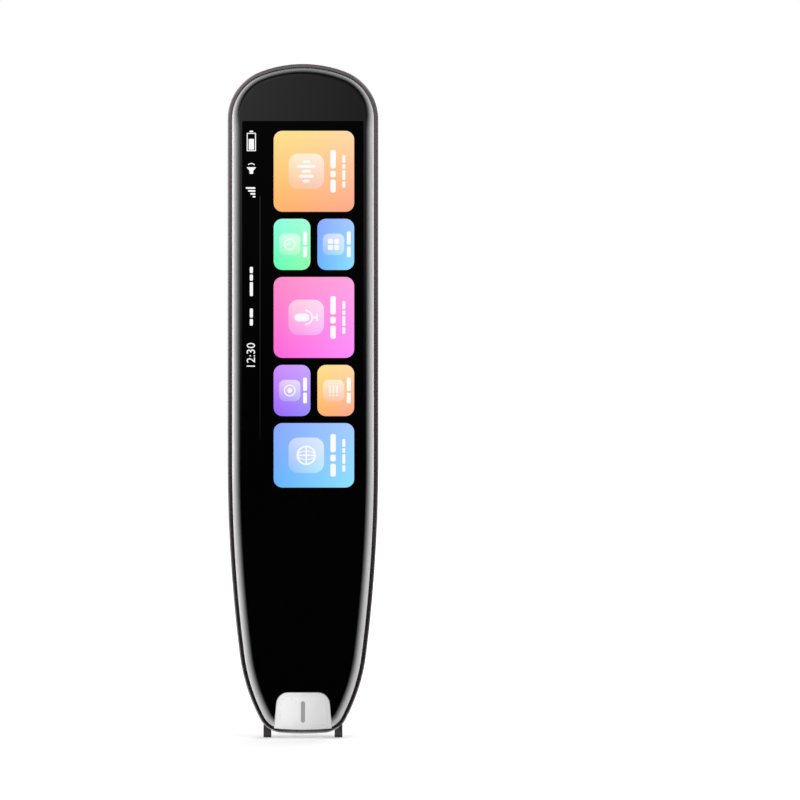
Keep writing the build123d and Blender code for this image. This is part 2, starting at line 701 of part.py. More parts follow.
def display_panel():
    half = DISPLAY_WIDTH / 2
    depth = (GLASS_THICKNESS, GLASS_THICKNESS + DISPLAY_THICKNESS)
    return block((-half, half), depth, (DISPLAY_BOTTOM, DISPLAY_BOTTOM + DISPLAY_LENGTH))


def viewing_window():
    """Clear moulding: bevelled front in the glass notch, block through to the scan cavity"""
    front = extrude(window_sketch(-SEAT_GAP, 0), amount=GLASS_THICKNESS, dir=(0, 1, 0))
    front = front & outline_prism(GLASS_INSET, (-PAST, GLASS_THICKNESS + PAST))
    solid = front.solid()
    solid = solid.chamfer(WINDOW_BEVEL, None, solid.faces().sort_by(Axis.Y)[0].edges())
    half = WINDOW_BLOCK_WIDTH / 2
    top = CHIN_HEIGHT + WINDOW_HEIGHT - SEAT_GAP
    body = block((-half, half), (GLASS_THICKNESS, WINDOW_BACK), (-FAR, top))
    body = body & outline_prism(LEDGE_INSET + SEAT_GAP, (0, WINDOW_BACK))
    return solid + body - mark_bar(-PAST)


def mark_bar(front):
    """Round-ended bar from a depth to the floor of the mark's recess"""
    return pill_y(CHIN_HEIGHT + MARK_CENTRE, MARK_LENGTH, MARK_WIDTH, (front, MARK_DEPTH))


def alignment_mark():
    """Grey line let into the front of the window"""
    return mark_bar(SEAT_GAP)


# ---- Sound plate ----
def disc_centres():
    return (PLATE_CENTRE + DISC_SPACING / 2, PLATE_CENTRE - DISC_SPACING / 2)


def sound_plate():
    """Long round-ended plate with a lower flange and two disc seats"""
    straight = PLATE_OPENING_LENGTH - PLATE_OPENING_WIDTH
    flange_depth = (RECESS_FLOOR, BODY_DEPTH - PLATE_FLANGE_SINK)
    flange = pill_y(PLATE_CENTRE, straight + PLATE_FLANGE_WIDTH, PLATE_FLANGE_WIDTH, flange_depth)
    upper = pill_y(PLATE_CENTRE, straight + PLATE_WIDTH, PLATE_WIDTH, (RECESS_FLOOR, PLATE_BACK))
    plate = flange + upper
    for centre in disc_centres():
        plate = plate - rod_y(0, centre, (0, BODY_DEPTH + PAST), DISC_DIAMETER + 2 * DISC_GAP)
    return plate


def plain_disc(centre):
    disc = rod_y(0, centre, (RECESS_FLOOR, PLATE_BACK), DISC_DIAMETER).solid()
    rim = disc.faces().sort_by(Axis.Y)[-1].edges()
    return disc.fillet(DISC_EDGE, rim)


def speaker_grille():
    """Disc with slanting round-ended slots that keep a margin from its edge"""
    centre = disc_centres()[0]
    disc = plain_disc(centre)
    radius = DISC_DIAMETER / 2 - GRILLE_MARGIN
    for index in range(GRILLE_SLOTS):
        across = (index - (GRILLE_SLOTS - 1) / 2) * GRILLE_SLOT_PITCH
        outer = abs(across) + GRILLE_SLOT_WIDTH / 2
        length = 2 * math.sqrt(radius**2 - outer**2)
        slot = Rot(0, 0, GRILLE_SLANT) * Pos(0, across) * SlotOverall(length, GRILLE_SLOT_WIDTH)
        plane = Plane((0, y_of(RECESS_FLOOR - PAST), centre), x_dir=(-1, 0, 0), z_dir=(0, 1, 0))
        disc = disc - extrude(plane * slot, amount=PLATE_RECESS + 2 * PAST)
    return disc


def grille_mesh():
    depth = (RECESS_FLOOR - MESH_THICKNESS, RECESS_FLOOR)
    return rod_y(0, disc_centres()[0], depth, MESH_DIAMETER)


def speaker_gasket():
    depth = (PAD_FACE - SPEAKER_GASKET, PAD_FACE)
    ring = rod_y(0, disc_centres()[0], depth, SPEAKER_DIAMETER)
    hole = rod_y(0, disc_centres()[0], (0, BODY_DEPTH), SPEAKER_DIAMETER - 2 * SPEAKER_GASKET_WIDTH)
    return ring - hole


def speaker_driver():
    """Small round speaker: basket, sunk cone plate and dust dome"""
    back = PAD_FACE - SPEAKER_GASKET
    floor = back - SPEAKER_WELL
    centre = disc_centres()[0]
    body = rod_y(0, centre, (back - SPEAKER_DEPTH, back), SPEAKER_DIAMETER)
    well = rod_y(0, centre, (floor, back + PAST), SPEAKER_DIAMETER - 2 * SPEAKER_GASKET_WIDTH)
    half = SPEAKER_DOME_DIAMETER / 2
    radius = (half**2 + SPEAKER_DOME_HEIGHT**2) / (2 * SPEAKER_DOME_HEIGHT)
    ball = Pos(0, y_of(floor + SPEAKER_DOME_HEIGHT - radius), centre) * Sphere(radius)
    dome = ball & rod_y(0, centre, (floor - MELD, back), SPEAKER_DOME_DIAMETER)
    return body - well + dome


# ---- Scan head ----
def bezel_bar(half_width, top, corner):
    """Upright bar with rounded top corners, from the hood to beyond the back"""
    bar = block((-half_width, half_width), (SCAN_BEZEL_FRONT, BODY_DEPTH + PAST), (SCAN_BEZEL_BOTTOM, top))
    bar_edges = bar.edges().filter_by(Axis.Y).sort_by(Axis.Z)[-2:]
    return fillet(bar_edges, corner)


def scan_bezel():
    """U-shaped trim: a sunk outer step and a lip flush with the back"""
    half = SCAN_BEZEL_WIDTH / 2
    top = SCAN_TOP - SEAT_GAP
    lip_inset = SCAN_BEZEL_STEP
    hole_inset = SCAN_BEZEL_STEP + SCAN_BEZEL_TRIM
    hole = bezel_bar(half - hole_inset, top - hole_inset, SCAN_BEZEL_HOLE_CORNER)
    step = (bezel_bar(half, top, SCAN_BEZEL_CORNER) - hole) & hull(SCAN_BEZEL_SINK, RIM_BACK)
    lip_bar = bezel_bar(half - lip_inset, top - lip_inset, SCAN_BEZEL_CORNER - lip_inset)
    lip = (lip_bar - hole) & hull(0, RIM_BACK)
    return step + lip


def hood_half():
    """Half the width of the hood, which stands between the blades"""
    return BLADE_INNER - SLIDE_GAP - 2 * SEAT_GAP


def scan_hood():
    """Dark hood that lines the scan cavity: sides, front and a roof with the pane seat"""
    outer = hood_half()
    inner = outer - HOOD_WALL
    top = SCAN_TOP - SEAT_GAP
    hood = block((-outer, outer), (HOOD_FRONT, HOOD_BACK), (HOOD_BOTTOM, top))
    hood = fillet(hood.edges().filter_by(Axis.Y).sort_by(Axis.Z)[-2:], HOOD_CORNER)
    room_top = top - HOOD_ROOF
    hood = hood - block((-inner, inner), (HOOD_FRONT + HOOD_WALL, FAR), (-FAR, room_top))
    web_room = (HOOD_FRONT - PAST, WEB_FRONT + WEB_THICKNESS + 2 * SLIDE_GAP)
    hood = hood - block((-FAR, FAR), web_room, (-FAR, HOOD_STEP_TOP))
    half_width = PANE_WIDTH / 2
    seat_depth = (CAMERA_CENTRE_DEPTH - PANE_DEPTH / 2, CAMERA_CENTRE_DEPTH + PANE_DEPTH / 2)
    seat = block(
        (-half_width - SEAT_GAP, half_width + SEAT_GAP),
        (seat_depth[0] - SEAT_GAP, seat_depth[1] + SEAT_GAP),
        (top - PANE_THICKNESS, FAR),
    )
    hole = block(
        (-half_width + PANE_LIP, half_width - PANE_LIP),
        (seat_depth[0] + PANE_LIP, seat_depth[1] - PANE_LIP),
        (room_top - PAST, FAR),
    )
    return hood - seat - hole


def camera_window():
    half_width = PANE_WIDTH / 2
    depth = (CAMERA_CENTRE_DEPTH - PANE_DEPTH / 2, CAMERA_CENTRE_DEPTH + PANE_DEPTH / 2)
    top = SCAN_TOP - SEAT_GAP
    return block((-half_width, half_width), depth, (top - PANE_THICKNESS, top))


def lamp_board_top():
    return CAVITY_BOTTOM + LAMP_BOARD_THICKNESS


def lamp_board():
    """Board that closes the bulkhead opening, with a hole for the camera barrel"""
    half = BULKHEAD_OPENING_WIDTH / 2 + LAMP_BOARD_LAP
    depth = (BULKHEAD_OPENING_FRONT - LAMP_BOARD_LAP, BULKHEAD_OPENING_BACK + LAMP_BOARD_LAP)
    board = block((-half, half), depth, (CAVITY_BOTTOM, lamp_board_top()))
    hole_z = (CAVITY_BOTTOM - PAST, lamp_board_top() + PAST)
    return board - rod_z(0, CAMERA_CENTRE_DEPTH, hole_z, CAMERA_BARREL_DIAMETER + 2 * SEAT_GAP)


def lamp_leds():
    half = LAMP_SIZE / 2
    depth = (CAMERA_CENTRE_DEPTH - half, CAMERA_CENTRE_DEPTH + half)
    z = (CAVITY_BOTTOM - LAMP_HEIGHT, CAVITY_BOTTOM)
    lamp = block((LAMP_OFFSET - half, LAMP_OFFSET + half), depth, z)
    return Compound(children=both_sides(lamp))


def camera_module():
    """Camera body on the lamp board with its barrel down through the board"""
    half_x = CAMERA_WIDTH / 2
    half_y = CAMERA_DEPTH / 2
    depth = (CAMERA_CENTRE_DEPTH - half_y, CAMERA_CENTRE_DEPTH + half_y)
    top = lamp_board_top() + CAMERA_HEIGHT
    body = block((-half_x, half_x), depth, (lamp_board_top(), top))
    barrel_z = (CAVITY_BOTTOM - LAMP_HEIGHT, lamp_board_top())
    barrel = rod_z(0, CAMERA_CENTRE_DEPTH, barrel_z, CAMERA_BARREL_DIAMETER)
    seat_z = (barrel_z[0] - PAST, barrel_z[0] + LENS_HEIGHT)
    return body + barrel - rod_z(0, CAMERA_CENTRE_DEPTH, seat_z, LENS_DIAMETER + SEAT_GAP)


def camera_lens():
    """Lens with a domed face, seated in the barrel"""
    low = CAVITY_BOTTOM - LAMP_HEIGHT
    top = low + LENS_HEIGHT
    radius = LENS_DIAMETER
    ball = Pos(0, y_of(CAMERA_CENTRE_DEPTH), low + radius) * Sphere(radius)
    return rod_z(0, CAMERA_CENTRE_DEPTH, (low, top), LENS_DIAMETER) & ball


# ---- Scan foot ----
def blade_profile():
    """Side view of a blade: straight front, rounded tip, back swept up to the shell"""
    chord = (BLADE_BACK - BLADE_TIP_BACK, BLADE_TOP - BLADE_TIP_ROUND)
    length = math.hypot(*chord)
    sag = BLADE_BACK_RADIUS - math.sqrt(BLADE_BACK_RADIUS**2 - (length / 2) ** 2)
    middle_depth = (BLADE_BACK + BLADE_TIP_BACK) / 2 + sag * chord[1] / length
    middle_height = (BLADE_TOP + BLADE_TIP_ROUND) / 2 - sag * chord[0] / length
    back_top = Vector(0, y_of(BLADE_BACK), BLADE_TOP)
    back_middle = Vector(0, y_of(middle_depth), middle_height)
    tip_back = Vector(0, y_of(BLADE_TIP_BACK), BLADE_TIP_ROUND)
    tip_middle = Vector(0, y_of((BLADE_FRONT + BLADE_TIP_BACK) / 2), 0)
    front_tip = Vector(0, y_of(BLADE_FRONT), BLADE_TIP_ROUND)
    front_top = Vector(0, y_of(BLADE_FRONT), BLADE_TOP)
    return make_face(
        [
            ThreePointArc(back_top, back_middle, tip_back),
            ThreePointArc(tip_back, tip_middle, front_tip),
            Polyline(front_tip, front_top, back_top),
        ]
    )


def blade():
    """One blade on the +X side, with the tongue and lug that guide it"""
    face = Pos(BLADE_INNER, 0, 0) * blade_profile()
    plate = extrude(face, amount=BLADE_THICKNESS, dir=(1, 0, 0))
    tongue = block((BLADE_INNER, BLADE_OUTER), (TONGUE_FRONT, TONGUE_BACK), (BLADE_TOP - PAST, TONGUE_TOP))
    lug = block(
        (BLADE_OUTER, BLADE_OUTER + LUG_REACH),
        (LUG_FRONT, LUG_FRONT + LUG_DEPTH),
        (LUG_BOTTOM, LUG_BOTTOM + LUG_HEIGHT),
    )
    return plate + tongue + lug


def scan_foot():
    """Fork: two blades joined by a web, with the post that works the scan switch

    A thin skirt on the web slides up behind the front of the hood and keeps their gap dark.
    """
    web_back = WEB_FRONT + WEB_THICKNESS
    web_top = WEB_BOTTOM + WEB_HEIGHT
    web = block((-BLADE_INNER, BLADE_INNER), (WEB_FRONT, web_back), (WEB_BOTTOM, web_top))
    half_skirt = hood_half() - HOOD_WALL - SLIDE_GAP
    skirt_depth = (HOOD_FRONT + HOOD_WALL + SLIDE_GAP, web_back)
    skirt = block((-half_skirt, half_skirt), skirt_depth, (web_top, web_top + WEB_SKIRT_HEIGHT))
    post = rod_z(-BLADE_CENTRE, PLUNGER_DEPTH, (TONGUE_TOP, TONGUE_TOP + POST_HEIGHT), POST_DIAMETER)
    foot = web + skirt + post
    for side in both_sides(blade()):
        foot = foot + side
    return foot


def foot_springs():
    """Coil springs between the tongues and the pocket ceilings"""
    height = POCKET_TOP - TONGUE_TOP - SPRING_WIRE - SEAT_GAP
    radius = (SPRING_DIAMETER - SPRING_WIRE) / 2
    helix = Helix(pitch=height / SPRING_TURNS, height=height, radius=radius)
    section = Plane(helix @ 0, z_dir=helix % 0) * Circle(SPRING_WIRE / 2)
    coil = sweep(section, path=helix)
    base = TONGUE_TOP + (SPRING_WIRE + SEAT_GAP) / 2
    spring = Pos(BLADE_CENTRE, y_of(SPRING_DEPTH), base) * coil
    return Compound(children=both_sides(spring))


def scan_switch():
    """Small switch under the pocket ceiling, bored for its plunger"""
    half = SWITCH_WIDTH / 2
    depth = (PLUNGER_DEPTH - half, PLUNGER_DEPTH + half)
    x = (-BLADE_CENTRE - half, -BLADE_CENTRE + half)
    body = block(x, depth, (POCKET_TOP - SWITCH_HEIGHT, POCKET_TOP))
    bore_z = (POCKET_TOP - SWITCH_HEIGHT - PAST, POCKET_TOP - SWITCH_ROOF)
    return body - rod_z(-BLADE_CENTRE, PLUNGER_DEPTH, bore_z, PLUNGER_DIAMETER + 2 * PLUNGER_GAP)


def switch_plunger():
    low = TONGUE_TOP + POST_HEIGHT
    return rod_z(-BLADE_CENTRE, PLUNGER_DEPTH, (low, low + PLUNGER_LENGTH), PLUNGER_DIAMETER)


# ---- Keys ----
def key_face():
    return HALF + KEY_PROUD


def side_key(centre, length, flange_gap):
    """Key cap through the wall with its flange and the stub that presses the switch"""
    seat = HALF - KEY_FLANGE_DEPTH - flange_gap
    cap = pill_x(centre, length, KEY_WIDTH, KEY_DEPTH, (seat - KEY_FLANGE, key_face())).solid()
    cap = cap.fillet(KEY_EDGE, cap.faces().sort_by(Axis.X)[-1].edges())
    margin = 2 * KEY_FLANGE_MARGIN
    flange = pill_x(centre, length + margin, KEY_WIDTH + margin, KEY_DEPTH, (seat - KEY_FLANGE, seat))
    return Part(cap.wrapped) + flange


def switch_face(flange_gap):
    """x of the switch button that a side key works"""
    return HALF - KEY_FLANGE_DEPTH - flange_gap - KEY_FLANGE - BRACKET_ARM - SWITCH_GAP


def key_stub(centre, flange_gap):
    seat = HALF - KEY_FLANGE_DEPTH - flange_gap - KEY_FLANGE
    half = STUB_WIDTH / 2
    depth = (KEY_DEPTH - half, KEY_DEPTH + half)
    return block((seat - BRACKET_ARM, seat), depth, (centre - half, centre + half))


def volume_stub_offset():
    return VOLUME_LENGTH / 2 - STUB_INSET


def pin_x():
    seat = HALF - KEY_FLANGE_DEPTH - VOLUME_TURN_GAP - KEY_FLANGE
    return seat - BRACKET_ARM / 2


def volume_rocker():
    """Rocker with a waist in the middle, two stubs and an eye for its pin"""
    rocker = side_key(VOLUME_CENTRE, VOLUME_LENGTH, VOLUME_TURN_GAP)
    for sign in (1, -1):
        rocker = rocker + key_stub(VOLUME_CENTRE + sign * volume_stub_offset(), VOLUME_TURN_GAP)
    waist = Cylinder(VOLUME_WAIST_RADIUS, 2 * VOLUME_WAIST_DEPTH)
    for side in (1, -1):
        depth = KEY_DEPTH + side * (KEY_WIDTH / 2 + VOLUME_WAIST_RADIUS - VOLUME_WAIST_REACH)
        rocker = rocker - Pos(key_face(), y_of(depth), VOLUME_CENTRE) * Rot(0, 90, 0) * waist
    seat = HALF - KEY_FLANGE_DEPTH - VOLUME_TURN_GAP - KEY_FLANGE
    eye_depth = (KEY_DEPTH - EYE_WIDTH / 2, KEY_DEPTH + EYE_WIDTH / 2)
    eye_z = (VOLUME_CENTRE - STUB_WIDTH / 2, VOLUME_CENTRE + STUB_WIDTH / 2)
    rocker = rocker + block((seat - BRACKET_ARM, seat), eye_depth, eye_z)
    return rocker - rod_y(pin_x(), VOLUME_CENTRE, (0, BODY_DEPTH), PIN_DIAMETER + 2 * PIN_GAP)


def function_key():
    return side_key(FUNCTION_CENTRE, FUNCTION_LENGTH, SEAT_GAP) + key_stub(FUNCTION_CENTRE, SEAT_GAP)


def pin_depths():
    """Depths of the two ends of the rocker pin"""
    return (BOARD_BACK + SEAT_GAP, KEY_DEPTH + KEY_WIDTH / 2 + KEY_FLANGE_MARGIN)


def rocker_pin():
    return rod_y(pin_x(), VOLUME_CENTRE, pin_depths(), PIN_DIAMETER)


def key_bracket():
    """Strip behind the rocker with two ears that hold its pin"""
    low, high = pin_depths()
    z = (VOLUME_CENTRE - BRACKET_WIDTH / 2, VOLUME_CENTRE + BRACKET_WIDTH / 2)
    inner_x = pin_x() - BRACKET_ARM / 2 - SEAT_GAP
    outer_x = pin_x() + BRACKET_ARM / 2 - SLIDE_GAP
    bracket = block((inner_x - BRACKET_THICKNESS, inner_x), (low, high), z)
    bracket = bracket + block((inner_x, outer_x), (low, KEY_DEPTH - EYE_WIDTH / 2 - SEAT_GAP), z)
    bracket = bracket + block((inner_x, outer_x), (KEY_DEPTH + EYE_WIDTH / 2 + SEAT_GAP, high), z)
    return bracket - rod_y(pin_x(), VOLUME_CENTRE, (0, BODY_DEPTH), PIN_DIAMETER)


def tact_switch(button_x, centre):
    """Side-press switch on the back of the board, its button towards the wall"""
    half = TACT_SIZE / 2
    body_x = (button_x - TACT_BUTTON - TACT_DEPTH, button_x - TACT_BUTTON)
    body = block(body_x, (BOARD_BACK, BOARD_BACK + TACT_HEIGHT), (centre - half, centre + half))
    half_button = TACT_BUTTON_LENGTH / 2
    return body + block((body_x[1], button_x), button_depth(), (centre - half_button, centre + half_button))


def button_depth():
    return (KEY_DEPTH - TACT_BUTTON_WIDTH / 2, KEY_DEPTH + TACT_BUTTON_WIDTH / 2)


def volume_switches():
    x = switch_face(VOLUME_TURN_GAP)
    return Compound(children=[tact_switch(x, VOLUME_CENTRE + side * volume_stub_offset()) for side in (1, -1)])


def function_switch():
    return tact_switch(switch_face(SEAT_GAP), FUNCTION_CENTRE)


def power_key():
    """Key in the crown: its top follows the crown, its flange sits inside the wall"""
    seat = TOP - POWER_SINK - SEAT_GAP
    plane = Plane((0, y_of(POWER_DEPTH), seat - KEY_FLANGE))
    cap = extrude(plane * SlotOverall(POWER_LENGTH, POWER_WIDTH), amount=POWER_SINK + 2 * PAST)
    cap = (cap & outline_prism(-KEY_PROUD, (0, BODY_DEPTH))).solid()
    cap = cap.fillet(KEY_EDGE, cap.faces().sort_by(Axis.Z)[-1].edges())
    margin = 2 * KEY_FLANGE_MARGIN
    flange = extrude(plane * SlotOverall(POWER_LENGTH + margin, POWER_WIDTH + margin), amount=KEY_FLANGE)
    stub_z = (power_stub_bottom(), seat)
    half = STUB_WIDTH / 2
    stub = block((-half, half), (KEY_DEPTH - half, KEY_DEPTH + half), stub_z)
    return Part(cap.wrapped) + flange + stub


def power_stub_bottom():
    return TOP - POWER_SINK - SEAT_GAP - KEY_FLANGE - BRACKET_ARM


def power_switch():
    top = power_stub_bottom() - SWITCH_GAP
    half = TACT_SIZE / 2
    body_z = (top - TACT_BUTTON - TACT_DEPTH, top - TACT_BUTTON)
    body = block((-half, half), (BOARD_BACK, BOARD_BACK + TACT_HEIGHT), body_z)
    half_button = TACT_BUTTON_LENGTH / 2
    return body + block((-half_button, half_button), button_depth(), (body_z[1], top))


# ---- Card slot, port, board ----
def card_sleeve():
    """Dark liner of the card slot, from the wall to the reader"""
    x = (-HALF + CARD_SLEEVE_SINK, reader_x()[0])
    outer = card_opening(-SEAT_GAP, x)
    return outer - card_opening(-SEAT_GAP - CARD_SLEEVE_WALL, (x[0] - PAST, x[1] + PAST))


def reader_x():
    low = -HALF + WALL + CARD_SLEEVE_REACH
    return (low, low + READER_WIDTH)


def card_reader():
    """Metal card cage on the front of the board, open towards the slot"""
    depth = (BOARD_FRONT - READER_THICKNESS, BOARD_FRONT)
    half = READER_LENGTH / 2
    cage = block(reader_x(), depth, (CARD_CENTRE - half, CARD_CENTRE + half))
    room_x = (reader_x()[0] - PAST, reader_x()[1] - READER_END)
    room_depth = (depth[0] + READER_LID, depth[1] - READER_FLOOR)
    room_half = half - READER_SIDE
    return cage - block(room_x, room_depth, (CARD_CENTRE - room_half, CARD_CENTRE + room_half))


def usb_port():
    """Charging receptacle: round-ended shell with its tongue"""
    x = (HALF - PORT_SINK - PORT_REACH, HALF - PORT_SINK)
    depth = BOARD_BACK + PORT_HEIGHT / 2
    shell = pill_x(PORT_CENTRE, PORT_LENGTH, PORT_HEIGHT, depth, x)
    inner = 2 * PORT_SHELL
    room_x = (x[0] + PORT_END, x[1] + PAST)
    room = pill_x(PORT_CENTRE, PORT_LENGTH - inner, PORT_HEIGHT - inner, depth, room_x)
    half = PORT_TONGUE_LENGTH / 2
    tongue_depth = (depth - PORT_TONGUE / 2, depth + PORT_TONGUE / 2)
    tongue_x = (x[0], x[1] - PORT_TONGUE_SINK)
    tongue = block(tongue_x, tongue_depth, (PORT_CENTRE - half, PORT_CENTRE + half))
    return shell - room + tongue


def main_board():
    """Board with chamfered top corners, screw holes and notches round the bosses"""
    half = BOARD_WIDTH / 2
    board = block((-half, half), (BOARD_FRONT, BOARD_BACK), (BOARD_BOTTOM, BOARD_TOP)).solid()
    board = board.chamfer(BOARD_CORNER, None, board.edges().filter_by(Axis.Y).sort_by(Axis.Z)[-2:])
    board = Part(board.wrapped)
    for x, z in FRAME_SCREWS:
        board = board - rod_y(x, z, (0, BODY_DEPTH), BOSS_DIAMETER + 2 * SLIDE_GAP)
    for x, z in BOARD_SCREWS:
        board = board - rod_y(x, z, (0, BODY_DEPTH), SCREW_DIAMETER + 2 * SEAT_GAP)
    return board


def processor_shield():
    half_x = SHIELD_WIDTH / 2
    half_z = SHIELD_LENGTH / 2
    x = (SHIELD_CENTRE_X - half_x, SHIELD_CENTRE_X + half_x)
    z = (SHIELD_CENTRE - half_z, SHIELD_CENTRE + half_z)
    can = block(x, (BOARD_BACK, BOARD_BACK + SHIELD_HEIGHT), z).solid()
    return can.fillet(SHIELD_EDGE, can.faces().sort_by(Axis.Y)[-1].edges())


def board_chips():
    """Chips on the back of the board, each from its centre below the board's top and its size"""
    chips = []
    for x, drop, width, length, height in CHIPS:
        chip_x = (x - width / 2, x + width / 2)
        z = BOARD_TOP - drop
        chips.append(block(chip_x, (BOARD_BACK, BOARD_BACK + height), (z - length / 2, z + length / 2)))
    return Compound(children=chips)


def microphone():
    """Microphone on the board's edge, in line with its hole in the side"""
    face = HALF - WALL - MIC_GAP
    z = (MIC_CENTRE - MIC_WIDTH / 2, MIC_CENTRE + MIC_WIDTH / 2)
    return block((face - MIC_LENGTH, face), (BOARD_BACK, BOARD_BACK + MIC_HEIGHT), z)


def antenna():
    """Thin aerial plate against the inside of the other wall"""
    face = -HALF + WALL + ANTENNA_GAP
    low = BOARD_BACK + ANTENNA_RISE
    z = (ANTENNA_CENTRE - ANTENNA_LENGTH / 2, ANTENNA_CENTRE + ANTENNA_LENGTH / 2)
    return block((face, face + ANTENNA_THICKNESS), (low, low + ANTENNA_WIDTH), z)


def battery_cell():
    half = BATTERY_WIDTH / 2
    depth = (FRAME_BACK, FRAME_BACK + BATTERY_THICKNESS)
    cell = block((-half, half), depth, (BATTERY_BOTTOM, BATTERY_BOTTOM + BATTERY_LENGTH)).solid()
    return cell.fillet(BATTERY_CORNER, cell.edges().filter_by(Axis.Z))


def battery_leads():
    """Two short leads from the cell's top to the back of the board"""
    depth = BOARD_BACK + LEAD_RISE
    top = BOARD_BOTTOM + LEAD_REACH
    leads = []
    for x in (LEAD_X, LEAD_X + LEAD_SPACING):
        start = Vector(x, y_of(depth), BATTERY_BOTTOM + BATTERY_LENGTH)
        corner = Vector(x, y_of(depth), top)
        path = FilletPolyline(start, corner, Vector(x, y_of(BOARD_BACK), top), radius=LEAD_BEND)
        section = Plane(path @ 0, z_dir=path % 0) * Circle(LEAD_DIAMETER / 2)
        leads.append(sweep(section, path=path))
    return Compound(children=leads)


def display_flex():
    """Ribbon from the display's foot, through the frame and up its back to the board"""
    half = FLEX_WIDTH / 2
    x = (-half, half)
    display_back = GLASS_THICKNESS + DISPLAY_THICKNESS
    low = DISPLAY_BOTTOM - FLEX_LOOP
    channel_face = FRAME_BACK - SEAT_GAP
    down = block(x, (display_back - FLEX_THICKNESS, display_back), (low, DISPLAY_BOTTOM))
    through = block(x, (display_back - FLEX_THICKNESS, channel_face), (low, low + FLEX_THICKNESS))
    up = block(x, (channel_face - FLEX_THICKNESS, channel_face), (low, BOARD_BOTTOM + FLEX_PLUG))
    plug = block(x, (channel_face, BOARD_FRONT), (BOARD_BOTTOM + FLEX_PLUG_START, BOARD_BOTTOM + FLEX_PLUG))
    return down + through + up + plug


def camera_flex():
    """Ribbon from the back of the camera, behind the battery, up to the back of the board"""
    half = CAMERA_FLEX_WIDTH / 2
    x = (-half, half)
    camera_back = CAMERA_CENTRE_DEPTH + CAMERA_DEPTH / 2
    behind = FRAME_BACK + BATTERY_THICKNESS + CAMERA_FLEX_GAP
    bend = lamp_board_top() + CAMERA_HEIGHT
    top = BOARD_BOTTOM + CAMERA_FLEX_PLUG
    tail = block(x, (camera_back, camera_back + FLEX_THICKNESS), (bend - CAMERA_FLEX_TAIL, bend))
    near = min(camera_back, behind)
    far = max(camera_back, behind) + FLEX_THICKNESS
    join = block(x, (near, far), (bend, bend + FLEX_THICKNESS))
    rise = block(x, (behind, behind + FLEX_THICKNESS), (bend, top))
    end = block(x, (BOARD_BACK, behind + FLEX_THICKNESS), (top - FLEX_THICKNESS, top))
    return tail + join + rise + end


def mid_frame():
    """Plate behind the display, with posts for the board and seats for the screws"""
    inset = LEDGE_INSET + FRAME_GAP
    plate = outline_prism(inset, (FRAME_FRONT, FRAME_BACK))
    plate = plate & block((-FAR, FAR), (0, BODY_DEPTH), (FRAME_BOTTOM, TOP))
    for x, z in BOARD_SCREWS:
        plate = plate + rod_y(x, z, (FRAME_FRONT, BOARD_FRONT), BOARD_POST_DIAMETER)
    reader = block(
        (-FAR, reader_x()[1] + SLIDE_GAP),
        (0, BODY_DEPTH),
        (CARD_CENTRE - CARD_LENGTH / 2 - SLIDE_GAP, CARD_CENTRE + CARD_LENGTH / 2 + SLIDE_GAP),
    )
    half_flex = FLEX_WIDTH / 2 + SLIDE_GAP
    flex_x = (-half_flex, half_flex)
    flex_low = DISPLAY_BOTTOM - FLEX_LOOP - SLIDE_GAP
    flex_hole = block(flex_x, (0, BODY_DEPTH), (flex_low, flex_low + FLEX_THICKNESS + 3 * SLIDE_GAP))
    channel_depth = (FRAME_BACK - FLEX_THICKNESS - 2 * SEAT_GAP, BODY_DEPTH)
    channel = block(flex_x, channel_depth, (flex_low, BOARD_BOTTOM + FLEX_PLUG + SLIDE_GAP))
    plate = plate - reader - flex_hole - channel
    for x, z in FRAME_SCREWS:
        head_depth = (FRAME_FRONT - PAST, FRAME_FRONT + SCREW_HEAD_HEIGHT + SEAT_GAP)
        plate = plate - rod_y(x, z, head_depth, SCREW_HEAD_DIAMETER + 2 * SEAT_GAP)
        plate = plate - rod_y(x, z, (0, BODY_DEPTH), SCREW_DIAMETER + 2 * SEAT_GAP)
    for x, z in BOARD_SCREWS:
        hole_depth = (FRAME_BACK - BOARD_SCREW_BITE - BOARD_SCREW_TIP_GAP, BODY_DEPTH)
        plate = plate - rod_y(x, z, hole_depth, SCREW_DIAMETER)
    return plate


def screw(x, z, head_depth, tip_depth):
    """Pan-head screw along Y; the tip may point either way"""
    sign = 1 if tip_depth > head_depth else -1
    head = sorted((head_depth, head_depth + sign * SCREW_HEAD_HEIGHT))
    shank = sorted((head_depth, tip_depth))
    return rod_y(x, z, head, SCREW_HEAD_DIAMETER) + rod_y(x, z, shank, SCREW_DIAMETER)


def frame_screws():
    head = FRAME_FRONT + SEAT_GAP
    tip = FRAME_BACK + SCREW_LENGTH - SCREW_TIP_GAP
    return Compound(children=[screw(x, z, head, tip) for x, z in FRAME_SCREWS])


def board_screws():
    head = BOARD_BACK + SCREW_HEAD_HEIGHT
    return Compound(children=[screw(x, z, head, FRAME_BACK - BOARD_SCREW_BITE) for x, z in BOARD_SCREWS])


